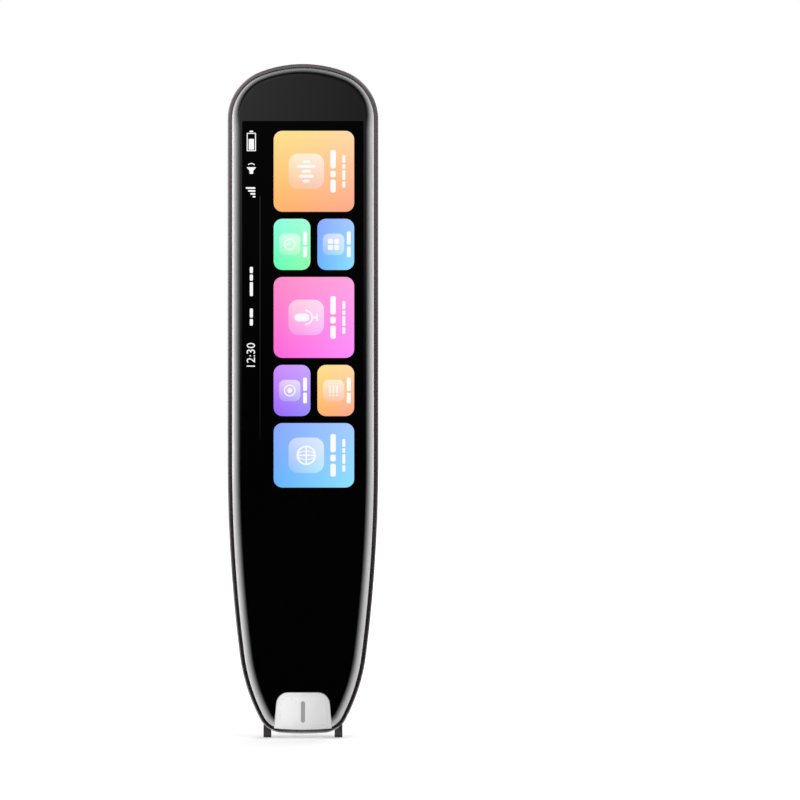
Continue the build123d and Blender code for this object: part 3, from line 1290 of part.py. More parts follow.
PARTS = {
    "rear_housing": rear_housing,
    "mid_frame": mid_frame,
    "cover_glass": cover_glass,
    "glass_adhesive": glass_adhesive,
    "display_panel": display_panel,
    "display_flex": display_flex,
    "viewing_window": viewing_window,
    "alignment_mark": alignment_mark,
    "sound_plate": sound_plate,
    "speaker_grille": speaker_grille,
    "cover_disc": lambda: plain_disc(disc_centres()[1]),
    "grille_mesh": grille_mesh,
    "speaker_gasket": speaker_gasket,
    "speaker_driver": speaker_driver,
    "scan_bezel": scan_bezel,
    "scan_hood": scan_hood,
    "camera_window": camera_window,
    "camera_module": camera_module,
    "camera_lens": camera_lens,
    "camera_flex": camera_flex,
    "lamp_board": lamp_board,
    "lamp_leds": lamp_leds,
    "scan_foot": scan_foot,
    "foot_springs": foot_springs,
    "scan_switch": scan_switch,
    "switch_plunger": switch_plunger,
    "power_key": power_key,
    "power_switch": power_switch,
    "volume_rocker": volume_rocker,
    "rocker_pin": rocker_pin,
    "key_bracket": key_bracket,
    "volume_switches": volume_switches,
    "function_key": function_key,
    "function_switch": function_switch,
    "card_sleeve": card_sleeve,
    "card_reader": card_reader,
    "usb_port": usb_port,
    "main_board": main_board,
    "processor_shield": processor_shield,
    "board_chips": board_chips,
    "microphone": microphone,
    "antenna": antenna,
    "battery_cell": battery_cell,
    "battery_leads": battery_leads,
    "frame_screws": frame_screws,
    "board_screws": board_screws,
}

os.makedirs("parts", exist_ok=True)
for node, make in PARTS.items():
    export_step(make(), f"parts/{node}.step")
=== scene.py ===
"""Looks of the handheld scanning translator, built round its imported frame. Lengths in metres."""
import colorsys
import json
import math

import bmesh
import bpy
import numpy as np
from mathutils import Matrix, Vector

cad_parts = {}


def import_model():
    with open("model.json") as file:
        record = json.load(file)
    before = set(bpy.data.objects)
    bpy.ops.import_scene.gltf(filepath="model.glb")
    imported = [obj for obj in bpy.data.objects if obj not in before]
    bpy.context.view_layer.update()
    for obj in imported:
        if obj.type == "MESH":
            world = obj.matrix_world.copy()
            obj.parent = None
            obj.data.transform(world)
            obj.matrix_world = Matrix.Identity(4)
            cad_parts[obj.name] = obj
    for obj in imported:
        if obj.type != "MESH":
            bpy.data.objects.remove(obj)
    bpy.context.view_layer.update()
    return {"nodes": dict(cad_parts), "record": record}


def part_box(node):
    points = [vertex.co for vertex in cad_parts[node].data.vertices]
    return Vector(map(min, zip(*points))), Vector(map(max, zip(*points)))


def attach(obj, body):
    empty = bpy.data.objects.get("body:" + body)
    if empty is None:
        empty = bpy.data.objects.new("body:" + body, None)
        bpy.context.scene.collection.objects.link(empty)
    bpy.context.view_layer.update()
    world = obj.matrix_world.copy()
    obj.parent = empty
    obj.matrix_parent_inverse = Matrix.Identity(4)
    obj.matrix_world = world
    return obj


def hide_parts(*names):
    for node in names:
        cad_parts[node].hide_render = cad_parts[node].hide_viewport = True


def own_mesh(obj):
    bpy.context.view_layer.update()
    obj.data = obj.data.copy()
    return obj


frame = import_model()

MM = 0.001
BODY = "pen_body"

# ---- Places taken from the frame ----
GLASS_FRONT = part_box("cover_glass")[0].y
BACK_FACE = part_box("rear_housing")[1].y
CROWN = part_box("rear_housing")[1].z
DISPLAY_LOW, DISPLAY_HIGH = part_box("display_panel")
GRILLE_LOW, GRILLE_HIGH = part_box("speaker_grille")
COVER_LOW, COVER_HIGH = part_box("cover_disc")

# ---- Housing and trim metal ----
SHELL_DARK = (0.34, 0.298, 0.309)
SHELL_LIGHT = (0.41, 0.362, 0.374)
PLATE_DARK = (0.39, 0.35, 0.36)
PLATE_LIGHT = (0.45, 0.41, 0.42)
PLATE_ROUGH = (0.3, 0.38)
BEAD_BLAST = {"metallic": 1.0, "strength": 0.17}

# ---- Recess of the sound plate, in millimetres ----
RECESS_CENTRE = 133.0
RECESS_STRAIGHT = 22.8
BACK_FLAT_HALF = 9.25
BACK_ROUND = 9.0
# Profile of its sloping rim: reach from the middle line and depth below the back
RECESS_PROFILE = (
    (9.93, -0.008), (9.88, -0.012), (9.84, -0.004), (9.80, 0.03), (9.74, 0.085), (9.6, 0.225),
    (9.4, 0.425), (9.22, 0.605), (9.16, 0.66), (9.10, 0.683), (9.03, 0.69), (8.99, 0.71), (8.985, 0.88),
)
LINING = 0.05

# ---- Camera ----
FRAME_WIDTH = 193.8 * MM
LENS_MM = 126.0
SENSOR_MM = 36.0
CAMERA_HEIGHT = 82.1 * MM
CAMERA_SHIFT = 0.1213

# ---- Light ----
WORLD_STRENGTH = 0.68
FLOOR_COLOUR = (0.82, 0.82, 0.82, 1)
FLOOR_LIFT_NEAR = 0.26
FLOOR_LIFT_FAR = 0.47
FLOOR_REACH = 6.0
TENT_RADIUS = 1.6
TENT_DARK = 0.02
# Strips of the tent: strength, turn and width in degrees
TENT_STRIPS = ((1.4, -38, 17), (1.9, 107, 14), (1.2, -106, 9), (0.5, -3, 13), (0.15, 28, 10))

# ---- Glass, in millimetres: the body's outline moved inwards, and the edge that falls away ----
HALF_WIDTH = 18.25
TOP = 163.6
CHIN = 1.2
CROWN_RADIUS = 28.9
CROWN_CORNER = 12.3
FLANK_RADIUS = 373.0
NOSE_CORNER = 6.3
CHIN_RADIUS = 73.8
OUTLINE_TURNS = (7.2, 27.7, 85.9)
GLASS_INSET = 1.05
GLASS_THICKNESS = 1.1
EDGE_RADIUS = 3.0
EDGE_REACH = 1.8
NOTCH_TOP_HALF = 6.2
NOTCH_LOW_HALF = 7.15
NOTCH_HEIGHT = 10.1
NOTCH_CORNER = 2.8
# Painted highlight at the glass's rim: V at which it ends, V over which it fades, and the power of the fade
HIGHLIGHT_END = 0.69
HIGHLIGHT_FADE = 0.58
HIGHLIGHT_POWER = 1.6
UV_REACH = 3.0

# ---- Edge of the window, in millimetres: profile of inset and depth, gap to the notch, rim at the chin ----
WINDOW_PROFILE = (
    (0.0, 0.40), (0.0, 0.20), (0.02, 0.12), (0.08, 0.04), (0.18, 0.0), (0.5, -0.008), (1.0, -0.008),
    (1.0, 0.06), (0.5, 0.1), (0.1, 0.45),
)
WINDOW_GAP = 0.05
WINDOW_RIM = 1.0

# ---- Scan foot ----
FOOT_EDGE = 0.28 * MM

# ---- Screen image, in millimetres ----
SCREEN_LEFT = -14.75
SCREEN_RIGHT = 14.65
SCREEN_LOW = 60.4
SCREEN_HIGH = 149.7
TILE_LEFT = -7.1
TILE_RIGHT = 12.4
TILE_TOP = 147.3
TILE_GAP = 1.7
TILE_CORNER = 2.1
STATUS_X = -12.5
PANEL_LIFT = 0.010
TILE_LIFT = 0.016
SOFT_LIFT = 0.020
GLYPH_LIFT = 0.024


# ---- Node helpers ----
def add(tree, kind, **values):
    """Adds a node and sets its attributes"""
    node = tree.nodes.new(kind)
    for key, value in values.items():
        setattr(node, key, value)
    return node


def feed(tree, source, target):
    tree.links.new(source, target)


def math_node(tree, operation, a, b=None, clamp=False):
    """A Math node whose inputs are sockets or plain numbers"""
    node = add(tree, "ShaderNodeMath", operation=operation, use_clamp=clamp)
    for index, value in enumerate((a, b)):
        if value is None:
            continue
        if isinstance(value, (int, float)):
            node.inputs[index].default_value = value
        else:
            feed(tree, value, node.inputs[index])
    return node.outputs[0]


def colour_mix(tree, factor, a, b):
    """Colour between a and b; each is a socket or an RGB triple"""
    node = add(tree, "ShaderNodeMix", data_type="RGBA")
    for socket, value in ((node.inputs["Factor"], factor), (node.inputs[6], a), (node.inputs[7], b)):
        if isinstance(value, (int, float)):
            socket.default_value = value
        elif isinstance(value, tuple):
            socket.default_value = (*value, 1)
        else:
            feed(tree, value, socket)
    return node.outputs[2]


def ranged(tree, value, low, high, out_low, out_high):
    """Value mapped smoothly from one range to another, clamped"""
    node = add(tree, "ShaderNodeMapRange", interpolation_type="SMOOTHSTEP")
    feed(tree, value, node.inputs["Value"])
    for name, number in (("From Min", low), ("From Max", high), ("To Min", out_low), ("To Max", out_high)):
        node.inputs[name].default_value = number
    return node.outputs["Result"]


def new_group(name, inputs, outputs):
    """Shader node group with named inputs (name, kind, default) and outputs (name, kind)"""
    tree = bpy.data.node_groups.new(name, "ShaderNodeTree")
    for label, kind, default in inputs:
        socket = tree.interface.new_socket(label, in_out="INPUT", socket_type=kind)
        socket.default_value = default
    for label, kind in outputs:
        tree.interface.new_socket(label, in_out="OUTPUT", socket_type=kind)
    return tree, add(tree, "NodeGroupInput"), add(tree, "NodeGroupOutput")


def make_grain():
    """Fine grain: two sizes of noise on the object's own coordinates"""
    inputs = [
        ("Scale", "NodeSocketFloat", 2500.0),
        ("Clouding", "NodeSocketFloat", 0.3),
    ]
    outputs = [("Shade", "NodeSocketFloat"), ("Height", "NodeSocketFloat")]
    tree, inside, outside = new_group("fine_grain", inputs, outputs)
    place = add(tree, "ShaderNodeTexCoord").outputs["Object"]
    fine = add(tree, "ShaderNodeTexNoise")
    fine.inputs["Detail"].default_value = 3
    feed(tree, place, fine.inputs["Vector"])
    feed(tree, inside.outputs["Scale"], fine.inputs["Scale"])
    broad = add(tree, "ShaderNodeTexNoise")
    broad.inputs["Scale"].default_value = 45
    broad.inputs["Detail"].default_value = 4
    feed(tree, place, broad.inputs["Vector"])
    blend = add(tree, "ShaderNodeMix", data_type="FLOAT")
    feed(tree, inside.outputs["Clouding"], blend.inputs["Factor"])
    feed(tree, fine.outputs["Fac"], blend.inputs[2])
    feed(tree, broad.outputs["Fac"], blend.inputs[3])
    feed(tree, blend.outputs[0], outside.inputs["Shade"])
    feed(tree, fine.outputs["Fac"], outside.inputs["Height"])
    return tree


def make_mesh_weave():
    """Plain weave: rows and columns of threads that pass over and under"""
    inputs = [("Threads per metre", "NodeSocketFloat", 4500.0)]
    outputs = [("Thread", "NodeSocketFloat"), ("Height", "NodeSocketFloat")]
    tree, inside, outside = new_group("dust_weave", inputs, outputs)
    place = add(tree, "ShaderNodeTexCoord").outputs["Object"]
    scaled = add(tree, "ShaderNodeVectorMath", operation="SCALE")
    feed(tree, place, scaled.inputs[0])
    feed(tree, math_node(tree, "MULTIPLY", inside.outputs[0], math.pi), scaled.inputs["Scale"])
    axes = add(tree, "ShaderNodeSeparateXYZ")
    feed(tree, scaled.outputs[0], axes.inputs[0])
    across = math_node(tree, "ABSOLUTE", math_node(tree, "SINE", axes.outputs["X"]))
    along = math_node(tree, "ABSOLUTE", math_node(tree, "SINE", axes.outputs["Z"]))
    thread = math_node(tree, "MAXIMUM", across, along)
    feed(tree, thread, outside.inputs["Thread"])
    feed(tree, math_node(tree, "ADD", across, along), outside.inputs["Height"])
    return tree


def make_corner_blend():
    """Colour spread over a patch from the colours of its four corners, by its UV map"""
    corners = ["Low left", "Low right", "High left", "High right"]
    inputs = [(corner, "NodeSocketColor", (1, 1, 1, 1)) for corner in corners]
    tree, inside, outside = new_group("corner_blend", inputs, [("Colour", "NodeSocketColor")])
    axes = add(tree, "ShaderNodeSeparateXYZ")
    feed(tree, add(tree, "ShaderNodeTexCoord").outputs["UV"], axes.inputs[0])
    low = colour_mix(tree, axes.outputs["X"], inside.outputs[0], inside.outputs[1])
    high = colour_mix(tree, axes.outputs["X"], inside.outputs[2], inside.outputs[3])
    feed(tree, colour_mix(tree, axes.outputs["Y"], low, high), outside.inputs["Colour"])
    return tree


GRAIN = make_grain()
WEAVE = make_mesh_weave()
CORNERS = make_corner_blend()


def new_material(name):
    """Node material with one Principled shader; returns the material, its tree and the shader"""
    material = bpy.data.materials.new(name)
    material.use_nodes = True
    tree = material.node_tree
    tree.nodes.clear()
    shader = add(tree, "ShaderNodeBsdfPrincipled")
    output = add(tree, "ShaderNodeOutputMaterial")
    feed(tree, shader.outputs[0], output.inputs["Surface"])
    return material, tree, shader


def use_group(tree, group, **values):
    node = add(tree, "ShaderNodeGroup", node_tree=group)
    for label, value in values.items():
        node.inputs[label.replace("_", " ")].default_value = value
    return node


def add_bump(tree, shader, height, depth, strength=1.0):
    bump = add(tree, "ShaderNodeBump")
    bump.inputs["Strength"].default_value = strength
    bump.inputs["Distance"].default_value = depth
    feed(tree, height, bump.inputs["Height"])
    feed(tree, bump.outputs[0], shader.inputs["Normal"])


# ---- Materials ----
def grained(
    name, dark, light, rough, metallic=0.0, scale=2500.0, clouding=0.3, depth=0.01 * MM, strength=0.3
):
    """Finish whose colour and roughness wander with the grain between two ends"""
    material, tree, shader = new_material(name)
    grain = use_group(tree, GRAIN, Scale=scale, Clouding=clouding)
    shade = ranged(tree, grain.outputs["Shade"], 0.3, 0.7, 0, 1)
    feed(tree, colour_mix(tree, shade, dark, light), shader.inputs["Base Color"])
    feed(tree, ranged(tree, grain.outputs["Shade"], 0.3, 0.7, *rough), shader.inputs["Roughness"])
    shader.inputs["Metallic"].default_value = metallic
    add_bump(tree, shader, grain.outputs["Height"], depth, strength)
    return material, tree, shader


def sound_plate_metal():
    """The same trim, with painted shade: near black on the flange round the plate, which lies more than 0.32
    mm below the back, and at the rims of the disc seats
    """
    material, tree, shader = grained(
        "sound_plate_metal", PLATE_DARK, PLATE_LIGHT, PLATE_ROUGH, **BEAD_BLAST
    )
    place = add(tree, "ShaderNodeSeparateXYZ")
    feed(tree, add(tree, "ShaderNodeTexCoord").outputs["Object"], place.inputs[0])
    # Painted shade: the sunk flange and the rims of the disc seats are mixed towards near black
    flange = ranged(tree, place.outputs["Y"], BACK_FACE - 0.5 * MM, BACK_FACE - 0.32 * MM, 1, 0)
    painted_shades = [flange]
    for low, high in ((GRILLE_LOW, GRILLE_HIGH), (COVER_LOW, COVER_HIGH)):
        up = math_node(tree, "SUBTRACT", place.outputs["Z"], (low.z + high.z) / 2)
        aside = math_node(tree, "MULTIPLY", place.outputs["X"], place.outputs["X"])
        square = math_node(tree, "ADD", aside, math_node(tree, "MULTIPLY", up, up))
        reach = math_node(tree, "SQRT", square)
        seat = (high.z - low.z) / 2
        painted_shades.append(ranged(tree, reach, seat + 0.2 * MM, seat + 0.5 * MM, 0.85, 0))
    shade = math_node(tree, "MAXIMUM", math_node(tree, "MAXIMUM", painted_shades[0], painted_shades[1]), painted_shades[2])
    colour = shader.inputs["Base Color"].links[0].from_socket
    feed(tree, colour_mix(tree, shade, colour, (0.035, 0.031, 0.032)), shader.inputs["Base Color"])
    return material


def cover_glass():
    """Black printed glass with a painted highlight at the rim that fades inwards, narrower and dimmer near
    the crown; the partly metallic rim adds real reflection. V is a third of the distance in mm
    """
    material, tree, shader = new_material("cover_glass")
    across = add(tree, "ShaderNodeSeparateXYZ")
    feed(tree, add(tree, "ShaderNodeTexCoord").outputs["UV"], across.inputs[0])
    place = add(tree, "ShaderNodeSeparateXYZ")
    feed(tree, add(tree, "ShaderNodeTexCoord").outputs["Object"], place.inputs[0])
    # Near the crown the painted highlight is made narrower and dimmer
    crown = ranged(tree, place.outputs["Z"], CROWN - 17 * MM, CROWN - 2 * MM, 0, 1)
    tighter = math_node(tree, "ADD", 1.0, math_node(tree, "MULTIPLY", crown, 0.9))
    distance = math_node(tree, "MULTIPLY", across.outputs["Y"], tighter)
    fade = math_node(tree, "DIVIDE", math_node(tree, "SUBTRACT", HIGHLIGHT_END, distance), HIGHLIGHT_FADE, clamp=True)
    dimmed = math_node(tree, "SUBTRACT", 1.0, math_node(tree, "MULTIPLY", crown, 0.5))
    edge = math_node(tree, "MULTIPLY", math_node(tree, "POWER", fade, HIGHLIGHT_POWER), dimmed)
    # Painted highlight: the base colour turns pale grey towards the rim
    colour = colour_mix(tree, edge, (0.0006, 0.0006, 0.0007), (0.74, 0.74, 0.75))
    feed(tree, colour, shader.inputs["Base Color"])
    feed(tree, ranged(tree, distance, 0.06, 0.3, 0.35, 0), shader.inputs["Metallic"])
    grain = use_group(tree, GRAIN, Scale=400.0, Clouding=0.6)
    feed(tree, ranged(tree, grain.outputs["Shade"], 0.3, 0.7, 0.05, 0.09), shader.inputs["Roughness"])
    return material


def clear_plastic():
    material, tree, shader = new_material("clear_plastic")
    place = add(tree, "ShaderNodeSeparateXYZ")
    feed(tree, add(tree, "ShaderNodeTexCoord").outputs["Object"], place.inputs[0])
    # Painted shade: the window is painted paler at the left and greyer at the right, as the light falls
    # across it
    across = ranged(tree, place.outputs["X"], -6.5 * MM, 6.5 * MM, 0, 1)
    feed(tree, colour_mix(tree, across, (0.80, 0.80, 0.80), (0.58, 0.58, 0.585)), shader.inputs["Base Color"])
    shader.inputs["Transmission Weight"].default_value = 1.0
    shader.inputs["IOR"].default_value = 1.49
    grain = use_group(tree, GRAIN, Scale=600.0, Clouding=0.5)
    feed(tree, ranged(tree, grain.outputs["Shade"], 0.3, 0.7, 0.26, 0.32), shader.inputs["Roughness"])
    return material


def window_bevel_highlight():
    """Bevel of the window with a ground grain; its pale colour is a painted highlight, lighter at the left
    and darker at the right as painted shade
    """
    material, tree, shader = new_material("window_bevel_highlight")
    place = add(tree, "ShaderNodeSeparateXYZ")
    feed(tree, add(tree, "ShaderNodeTexCoord").outputs["Object"], place.inputs[0])
    # Painted highlight and painted shade: pale at the left, greyer at the right
    across = ranged(tree, place.outputs["X"], -6.5 * MM, 6.5 * MM, 0, 1)
    feed(tree, colour_mix(tree, across, (0.93, 0.93, 0.93), (0.70, 0.70, 0.705)), shader.inputs["Base Color"])
    grain = use_group(tree, GRAIN, Scale=5000.0)
    feed(tree, ranged(tree, grain.outputs["Shade"], 0.3, 0.7, 0.3, 0.45), shader.inputs["Roughness"])
    add_bump(tree, shader, grain.outputs["Height"], 0.005 * MM, 0.2)
    return material


def foot_plastic():
    """Moulded black of the scan foot with grain: faces that point sideways are painted darker than its edges
    as painted shade, and the tips are darker towards the bottom
    """
    material, tree, shader = grained(
        "foot_plastic", (0.026, 0.026, 0.027), (0.038, 0.038, 0.039), (0.34, 0.46), scale=3000.0
    )
    coordinates = add(tree, "ShaderNodeTexCoord")
    facing = add(tree, "ShaderNodeSeparateXYZ")
    feed(tree, coordinates.outputs["Normal"], facing.inputs[0])
    # Painted shade: faces that point along ±X are painted near black
    aside = ranged(tree, math_node(tree, "ABSOLUTE", facing.outputs["X"]), 0.7, 0.95, 0, 1)
    place = add(tree, "ShaderNodeSeparateXYZ")
    feed(tree, coordinates.outputs["Object"], place.inputs[0])
    # Darker towards the bottom of the tips, below 0.85 mm
    tip = ranged(tree, place.outputs["Z"], 0.5 * MM, 0.85 * MM, 1, 0)
    colour = shader.inputs["Base Color"].links[0].from_socket
    colour = colour_mix(tree, aside, colour, (0.007, 0.007, 0.0075))
    feed(tree, colour_mix(tree, tip, colour, (0.004, 0.004, 0.004)), shader.inputs["Base Color"])
    return material


def dust_mesh():
    """Fine black cloth behind the grille"""
    material, tree, shader = new_material("dust_mesh")
    weave = use_group(tree, WEAVE)
    open_part = ranged(tree, weave.outputs["Thread"], 0.6, 0.9, 0, 1)
    feed(tree, colour_mix(tree, open_part, (0.0008,) * 3, (0.012,) * 3), shader.inputs["Base Color"])
    shader.inputs["Roughness"].default_value = 0.8
    add_bump(tree, shader, weave.outputs["Height"], 0.02 * MM)
    return material


def circuit_board():
    """Solder mask with tracks that run in short right-angled pieces"""
    material, tree, shader = new_material("circuit_board")
    cells = add(tree, "ShaderNodeTexBrick")
    place = add(tree, "ShaderNodeTexCoord").outputs["Object"]
    turned = add(tree, "ShaderNodeMapping")
    turned.inputs["Rotation"].default_value = (math.pi / 2, 0, 0)
    feed(tree, place, turned.inputs["Vector"])
    feed(tree, turned.outputs[0], cells.inputs["Vector"])
    cells.inputs["Scale"].default_value = 320
    cells.inputs["Mortar Size"].default_value = 0.03
    green = (0.008, 0.075, 0.035)
    track = (0.02, 0.17, 0.08)
    feed(tree, colour_mix(tree, cells.outputs["Fac"], green, track), shader.inputs["Base Color"])
    shader.inputs["Roughness"].default_value = 0.3
    add_bump(tree, shader, cells.outputs["Fac"], 0.01 * MM)
    return material


def lamp():
    material, tree, shader = new_material("lamp")
    grain = use_group(tree, GRAIN, Scale=3000.0)
    shade = colour_mix(tree, grain.outputs["Shade"], (0.95, 0.9, 0.7), (1.0, 0.98, 0.85))
    feed(tree, shade, shader.inputs["Base Color"])
    shader.inputs["Roughness"].default_value = 0.25
    return material


def lens_glass():
    """Coated lens: deep blue-black with a clear gloss; the purple that grows towards glancing view is a
    painted reflection
    """
    material, tree, shader = new_material("lens_glass")
    # Painted reflection: the colour turns purple where the surface is seen at a glancing angle
    facing = add(tree, "ShaderNodeLayerWeight")
    shade = colour_mix(tree, facing.outputs["Facing"], (0.004, 0.006, 0.012), (0.05, 0.03, 0.09))
    feed(tree, shade, shader.inputs["Base Color"])
    shader.inputs["Roughness"].default_value = 0.03
    shader.inputs["Coat Weight"].default_value = 1.0
    return material


# Finishes of grain alone: dark and light colour, roughness from and to, and what isn't as usual
GRAINS = {
    "shell_metal": (SHELL_DARK, SHELL_LIGHT, (0.25, 0.31), BEAD_BLAST),
    "plate_metal": (PLATE_DARK, PLATE_LIGHT, PLATE_ROUGH, BEAD_BLAST),
    "display": ((0.003, 0.003, 0.0035), (0.005, 0.005, 0.0055), (0.08, 0.12), {"scale": 3000.0}),
    "mark_grey": ((0.36, 0.36, 0.365), (0.40, 0.40, 0.405), (0.4, 0.5), {}),
    "black_plastic": ((0.045, 0.045, 0.046), (0.065, 0.065, 0.066), (0.4, 0.52), {"scale": 3500.0}),
    "foam": (
        (0.01, 0.01, 0.01), (0.03, 0.03, 0.03), (0.8, 0.95),
        {"scale": 1800.0, "depth": 0.03 * MM, "strength": 0.8},
    ),
    "spring_steel": (
        (0.48, 0.48, 0.5), (0.62, 0.62, 0.63), (0.2, 0.3), {"metallic": 1.0, "scale": 4000.0}
    ),
    "steel": ((0.5, 0.5, 0.51), (0.6, 0.6, 0.61), (0.22, 0.34), {"metallic": 1.0, "scale": 1500.0}),
    "frame_metal": (
        (0.36, 0.36, 0.37), (0.46, 0.46, 0.47), (0.4, 0.55), {"metallic": 1.0, "scale": 900.0}
    ),
    "chip": ((0.012, 0.012, 0.013), (0.03, 0.03, 0.031), (0.5, 0.65), {"scale": 2500.0}),
    "battery_wrap": (
        (0.16, 0.17, 0.19), (0.22, 0.23, 0.25), (0.3, 0.45), {"scale": 500.0, "clouding": 0.7}
    ),
    "flex_film": ((0.42, 0.19, 0.03), (0.52, 0.26, 0.06), (0.2, 0.3), {"scale": 800.0, "clouding": 0.5}),
    "lead_sheath": ((0.42, 0.01, 0.01), (0.52, 0.02, 0.02), (0.35, 0.45), {"scale": 1500.0}),
    "port_metal": (
        (0.52, 0.52, 0.54), (0.64, 0.64, 0.65), (0.18, 0.28), {"metallic": 1.0, "scale": 2000.0}
    ),
}
# Finishes that take more than grain
WORKED = {
    "cover_glass": cover_glass,
    "clear_plastic": clear_plastic,
    "foot_plastic": foot_plastic,
    "mesh": dust_mesh,
    "circuit_board": circuit_board,
    "lamp": lamp,
    "lens_glass": lens_glass,
}


def dress_nodes():
    """Gives each node of the frame the finish that its slot names"""
    slots = {part["node"]: part["material_slot"] for part in frame["record"]["subparts"]}
    made = {slot: grained(slot, *looks, **special)[0] for slot, (*looks, special) in GRAINS.items()}
    made.update({slot: make() for slot, make in WORKED.items()})
    for name, node in frame["nodes"].items():
        for holder in node.material_slots:
            holder.material = made[slots[name]]
    frame["nodes"]["sound_plate"].material_slots[0].material = sound_plate_metal()
    return made


# ---- Surfaces ----
def mesh_piece(name, points, faces, material, uv=None, smooth=True):
    """Object from points (n, 3), lists of corners for the faces, and an optional UV for each point"""
    mesh = bpy.data.meshes.new(name)
    mesh.from_pydata(np.asarray(points).tolist(), [], [list(face) for face in faces])
    if uv is not None:
        corners = np.zeros(len(mesh.loops), int)
        mesh.loops.foreach_get("vertex_index", corners)
        mesh.uv_layers.new(name="UVMap").data.foreach_set("uv", uv[corners].astype(np.float32).ravel())
    mesh.polygons.foreach_set("use_smooth", np.full(len(mesh.polygons), smooth))
    mesh.materials.append(material)
    piece = bpy.data.objects.new(name, mesh)
    bpy.context.scene.collection.objects.link(piece)
    return piece


def grid_faces(rows, columns):
    """Four-cornered faces between the points of an open grid"""
    index = np.arange(rows * columns).reshape(rows, columns)
    corners = (index[:-1, :-1], index[:-1, 1:], index[1:, 1:], index[1:, :-1])
    return np.stack(corners, axis=-1).reshape(-1, 4)


def ring_faces(rows, columns):
    """Four-cornered faces of a grid that closes on itself both ways"""
    index = np.arange(rows * columns).reshape(rows, columns)
    on = np.roll(index, -1, axis=0)
    corners = (index, np.roll(index, -1, axis=1), np.roll(on, -1, axis=1), on)
    return np.stack(corners, axis=-1).reshape(-1, 4)


def arc_points(centre, radius, start, stop, count, last=False):
    """Points (x, z) along an arc between two angles in degrees"""
    turn = np.radians(np.linspace(start, stop, count, endpoint=last))
    return np.stack([centre[0] + radius * np.cos(turn), centre[1] + radius * np.sin(turn)], axis=1)


# ---- Cover glass ----
def outline_arcs():
    """Right half of the body's outline as tangent arcs: centre, radius, start and stop in degrees"""
    flank_turn, shoulder_turn, chin_turn = OUTLINE_TURNS
    cos_flank, cos_shoulder, cos_chin = [math.cos(math.radians(turn)) for turn in OUTLINE_TURNS]
    crown_turn = math.degrees(math.acos((HALF_WIDTH - CROWN_CORNER) / (CROWN_RADIUS - CROWN_CORNER)))
    nose_part = NOSE_CORNER * (cos_shoulder - cos_chin) + CHIN_RADIUS * cos_chin
    shoulder = (HALF_WIDTH - FLANK_RADIUS * (1 - cos_flank) - nose_part) / (cos_flank - cos_shoulder)

    def step(centre, length, turn):
        return arc_points(centre, length, turn, turn, 1, True)[0]

    nose_centre = step((0, CHIN + CHIN_RADIUS), CHIN_RADIUS - NOSE_CORNER, -chin_turn)
    shoulder_centre = step(nose_centre, NOSE_CORNER - shoulder, -shoulder_turn)
    flank_centre = step(shoulder_centre, shoulder - FLANK_RADIUS, -flank_turn)
    crown_centre = (0, TOP - CROWN_RADIUS)
    corner_centre = step(crown_centre, CROWN_RADIUS - CROWN_CORNER, crown_turn)
    return {
        "nose": (nose_centre, NOSE_CORNER, -chin_turn, -shoulder_turn),
        "shoulder": (shoulder_centre, shoulder, -shoulder_turn, -flank_turn),
        "flank": (flank_centre, FLANK_RADIUS, -flank_turn, 0),
        "corner": (corner_centre, CROWN_CORNER, 0, crown_turn),
        "crown": (crown_centre, CROWN_RADIUS, crown_turn, 90),
    }


def notch_side():
    """Two points of the window notch's right side line: low and high"""
    return np.array([(NOTCH_LOW_HALF, CHIN), (NOTCH_TOP_HALF, CHIN + NOTCH_HEIGHT)])


def glass_row(inset):
    """Outline at an inset, from the notch's right side over the crown to its left side

    It starts where the nose arc, moved inwards, meets the notch's side line: of the two points
    at which a line crosses a circle, the lower one.
    """
    arcs = outline_arcs()
    centre, radius, _, nose_stop = arcs["nose"]
    low, high = notch_side()
    along = (high - low) / np.linalg.norm(high - low)
    middle = (centre - low) @ along
    aside = np.linalg.norm(low + along * middle - centre)
    meet = low + along * (middle - math.sqrt((radius - inset) ** 2 - aside**2))
    start = math.degrees(math.atan2(*(meet - centre)[::-1]))
    parts = [arc_points(centre, radius - inset, start, nose_stop, 22)]
    for name, count in (("shoulder", 26), ("flank", 16)):
        centre, radius, begin, end = arcs[name]
        parts.append(arc_points(centre, radius - inset, begin, end, count))
    low_end = arcs["flank"][0][1]
    high_end = arcs["corner"][0][1]
    side = np.linspace(low_end, high_end, 12, endpoint=False)
    parts.append(np.stack([np.full(12, HALF_WIDTH - inset), side], axis=1))
    for name, count, last in (("corner", 30, False), ("crown", 16, True)):
        centre, radius, begin, end = arcs[name]
        parts.append(arc_points(centre, radius - inset, begin, end, count, last))
    right = np.concatenate(parts)
    return np.concatenate([right, right[-2::-1] * (-1, 1)])


def notch_top():
    """Top of the notch from right to left: two round corners between the slanting sides"""
    low, high = notch_side()
    tilt = math.degrees(math.atan2(low[0] - high[0], high[1] - low[1]))
    back = NOTCH_CORNER / math.tan(math.radians(90 + tilt) / 2)
    centre = (high[0] - back, high[1] - NOTCH_CORNER)
    corner = arc_points(centre, NOTCH_CORNER, tilt, 90, 14, True)
    return np.concatenate([corner, corner[::-1] * (-1, 1)])


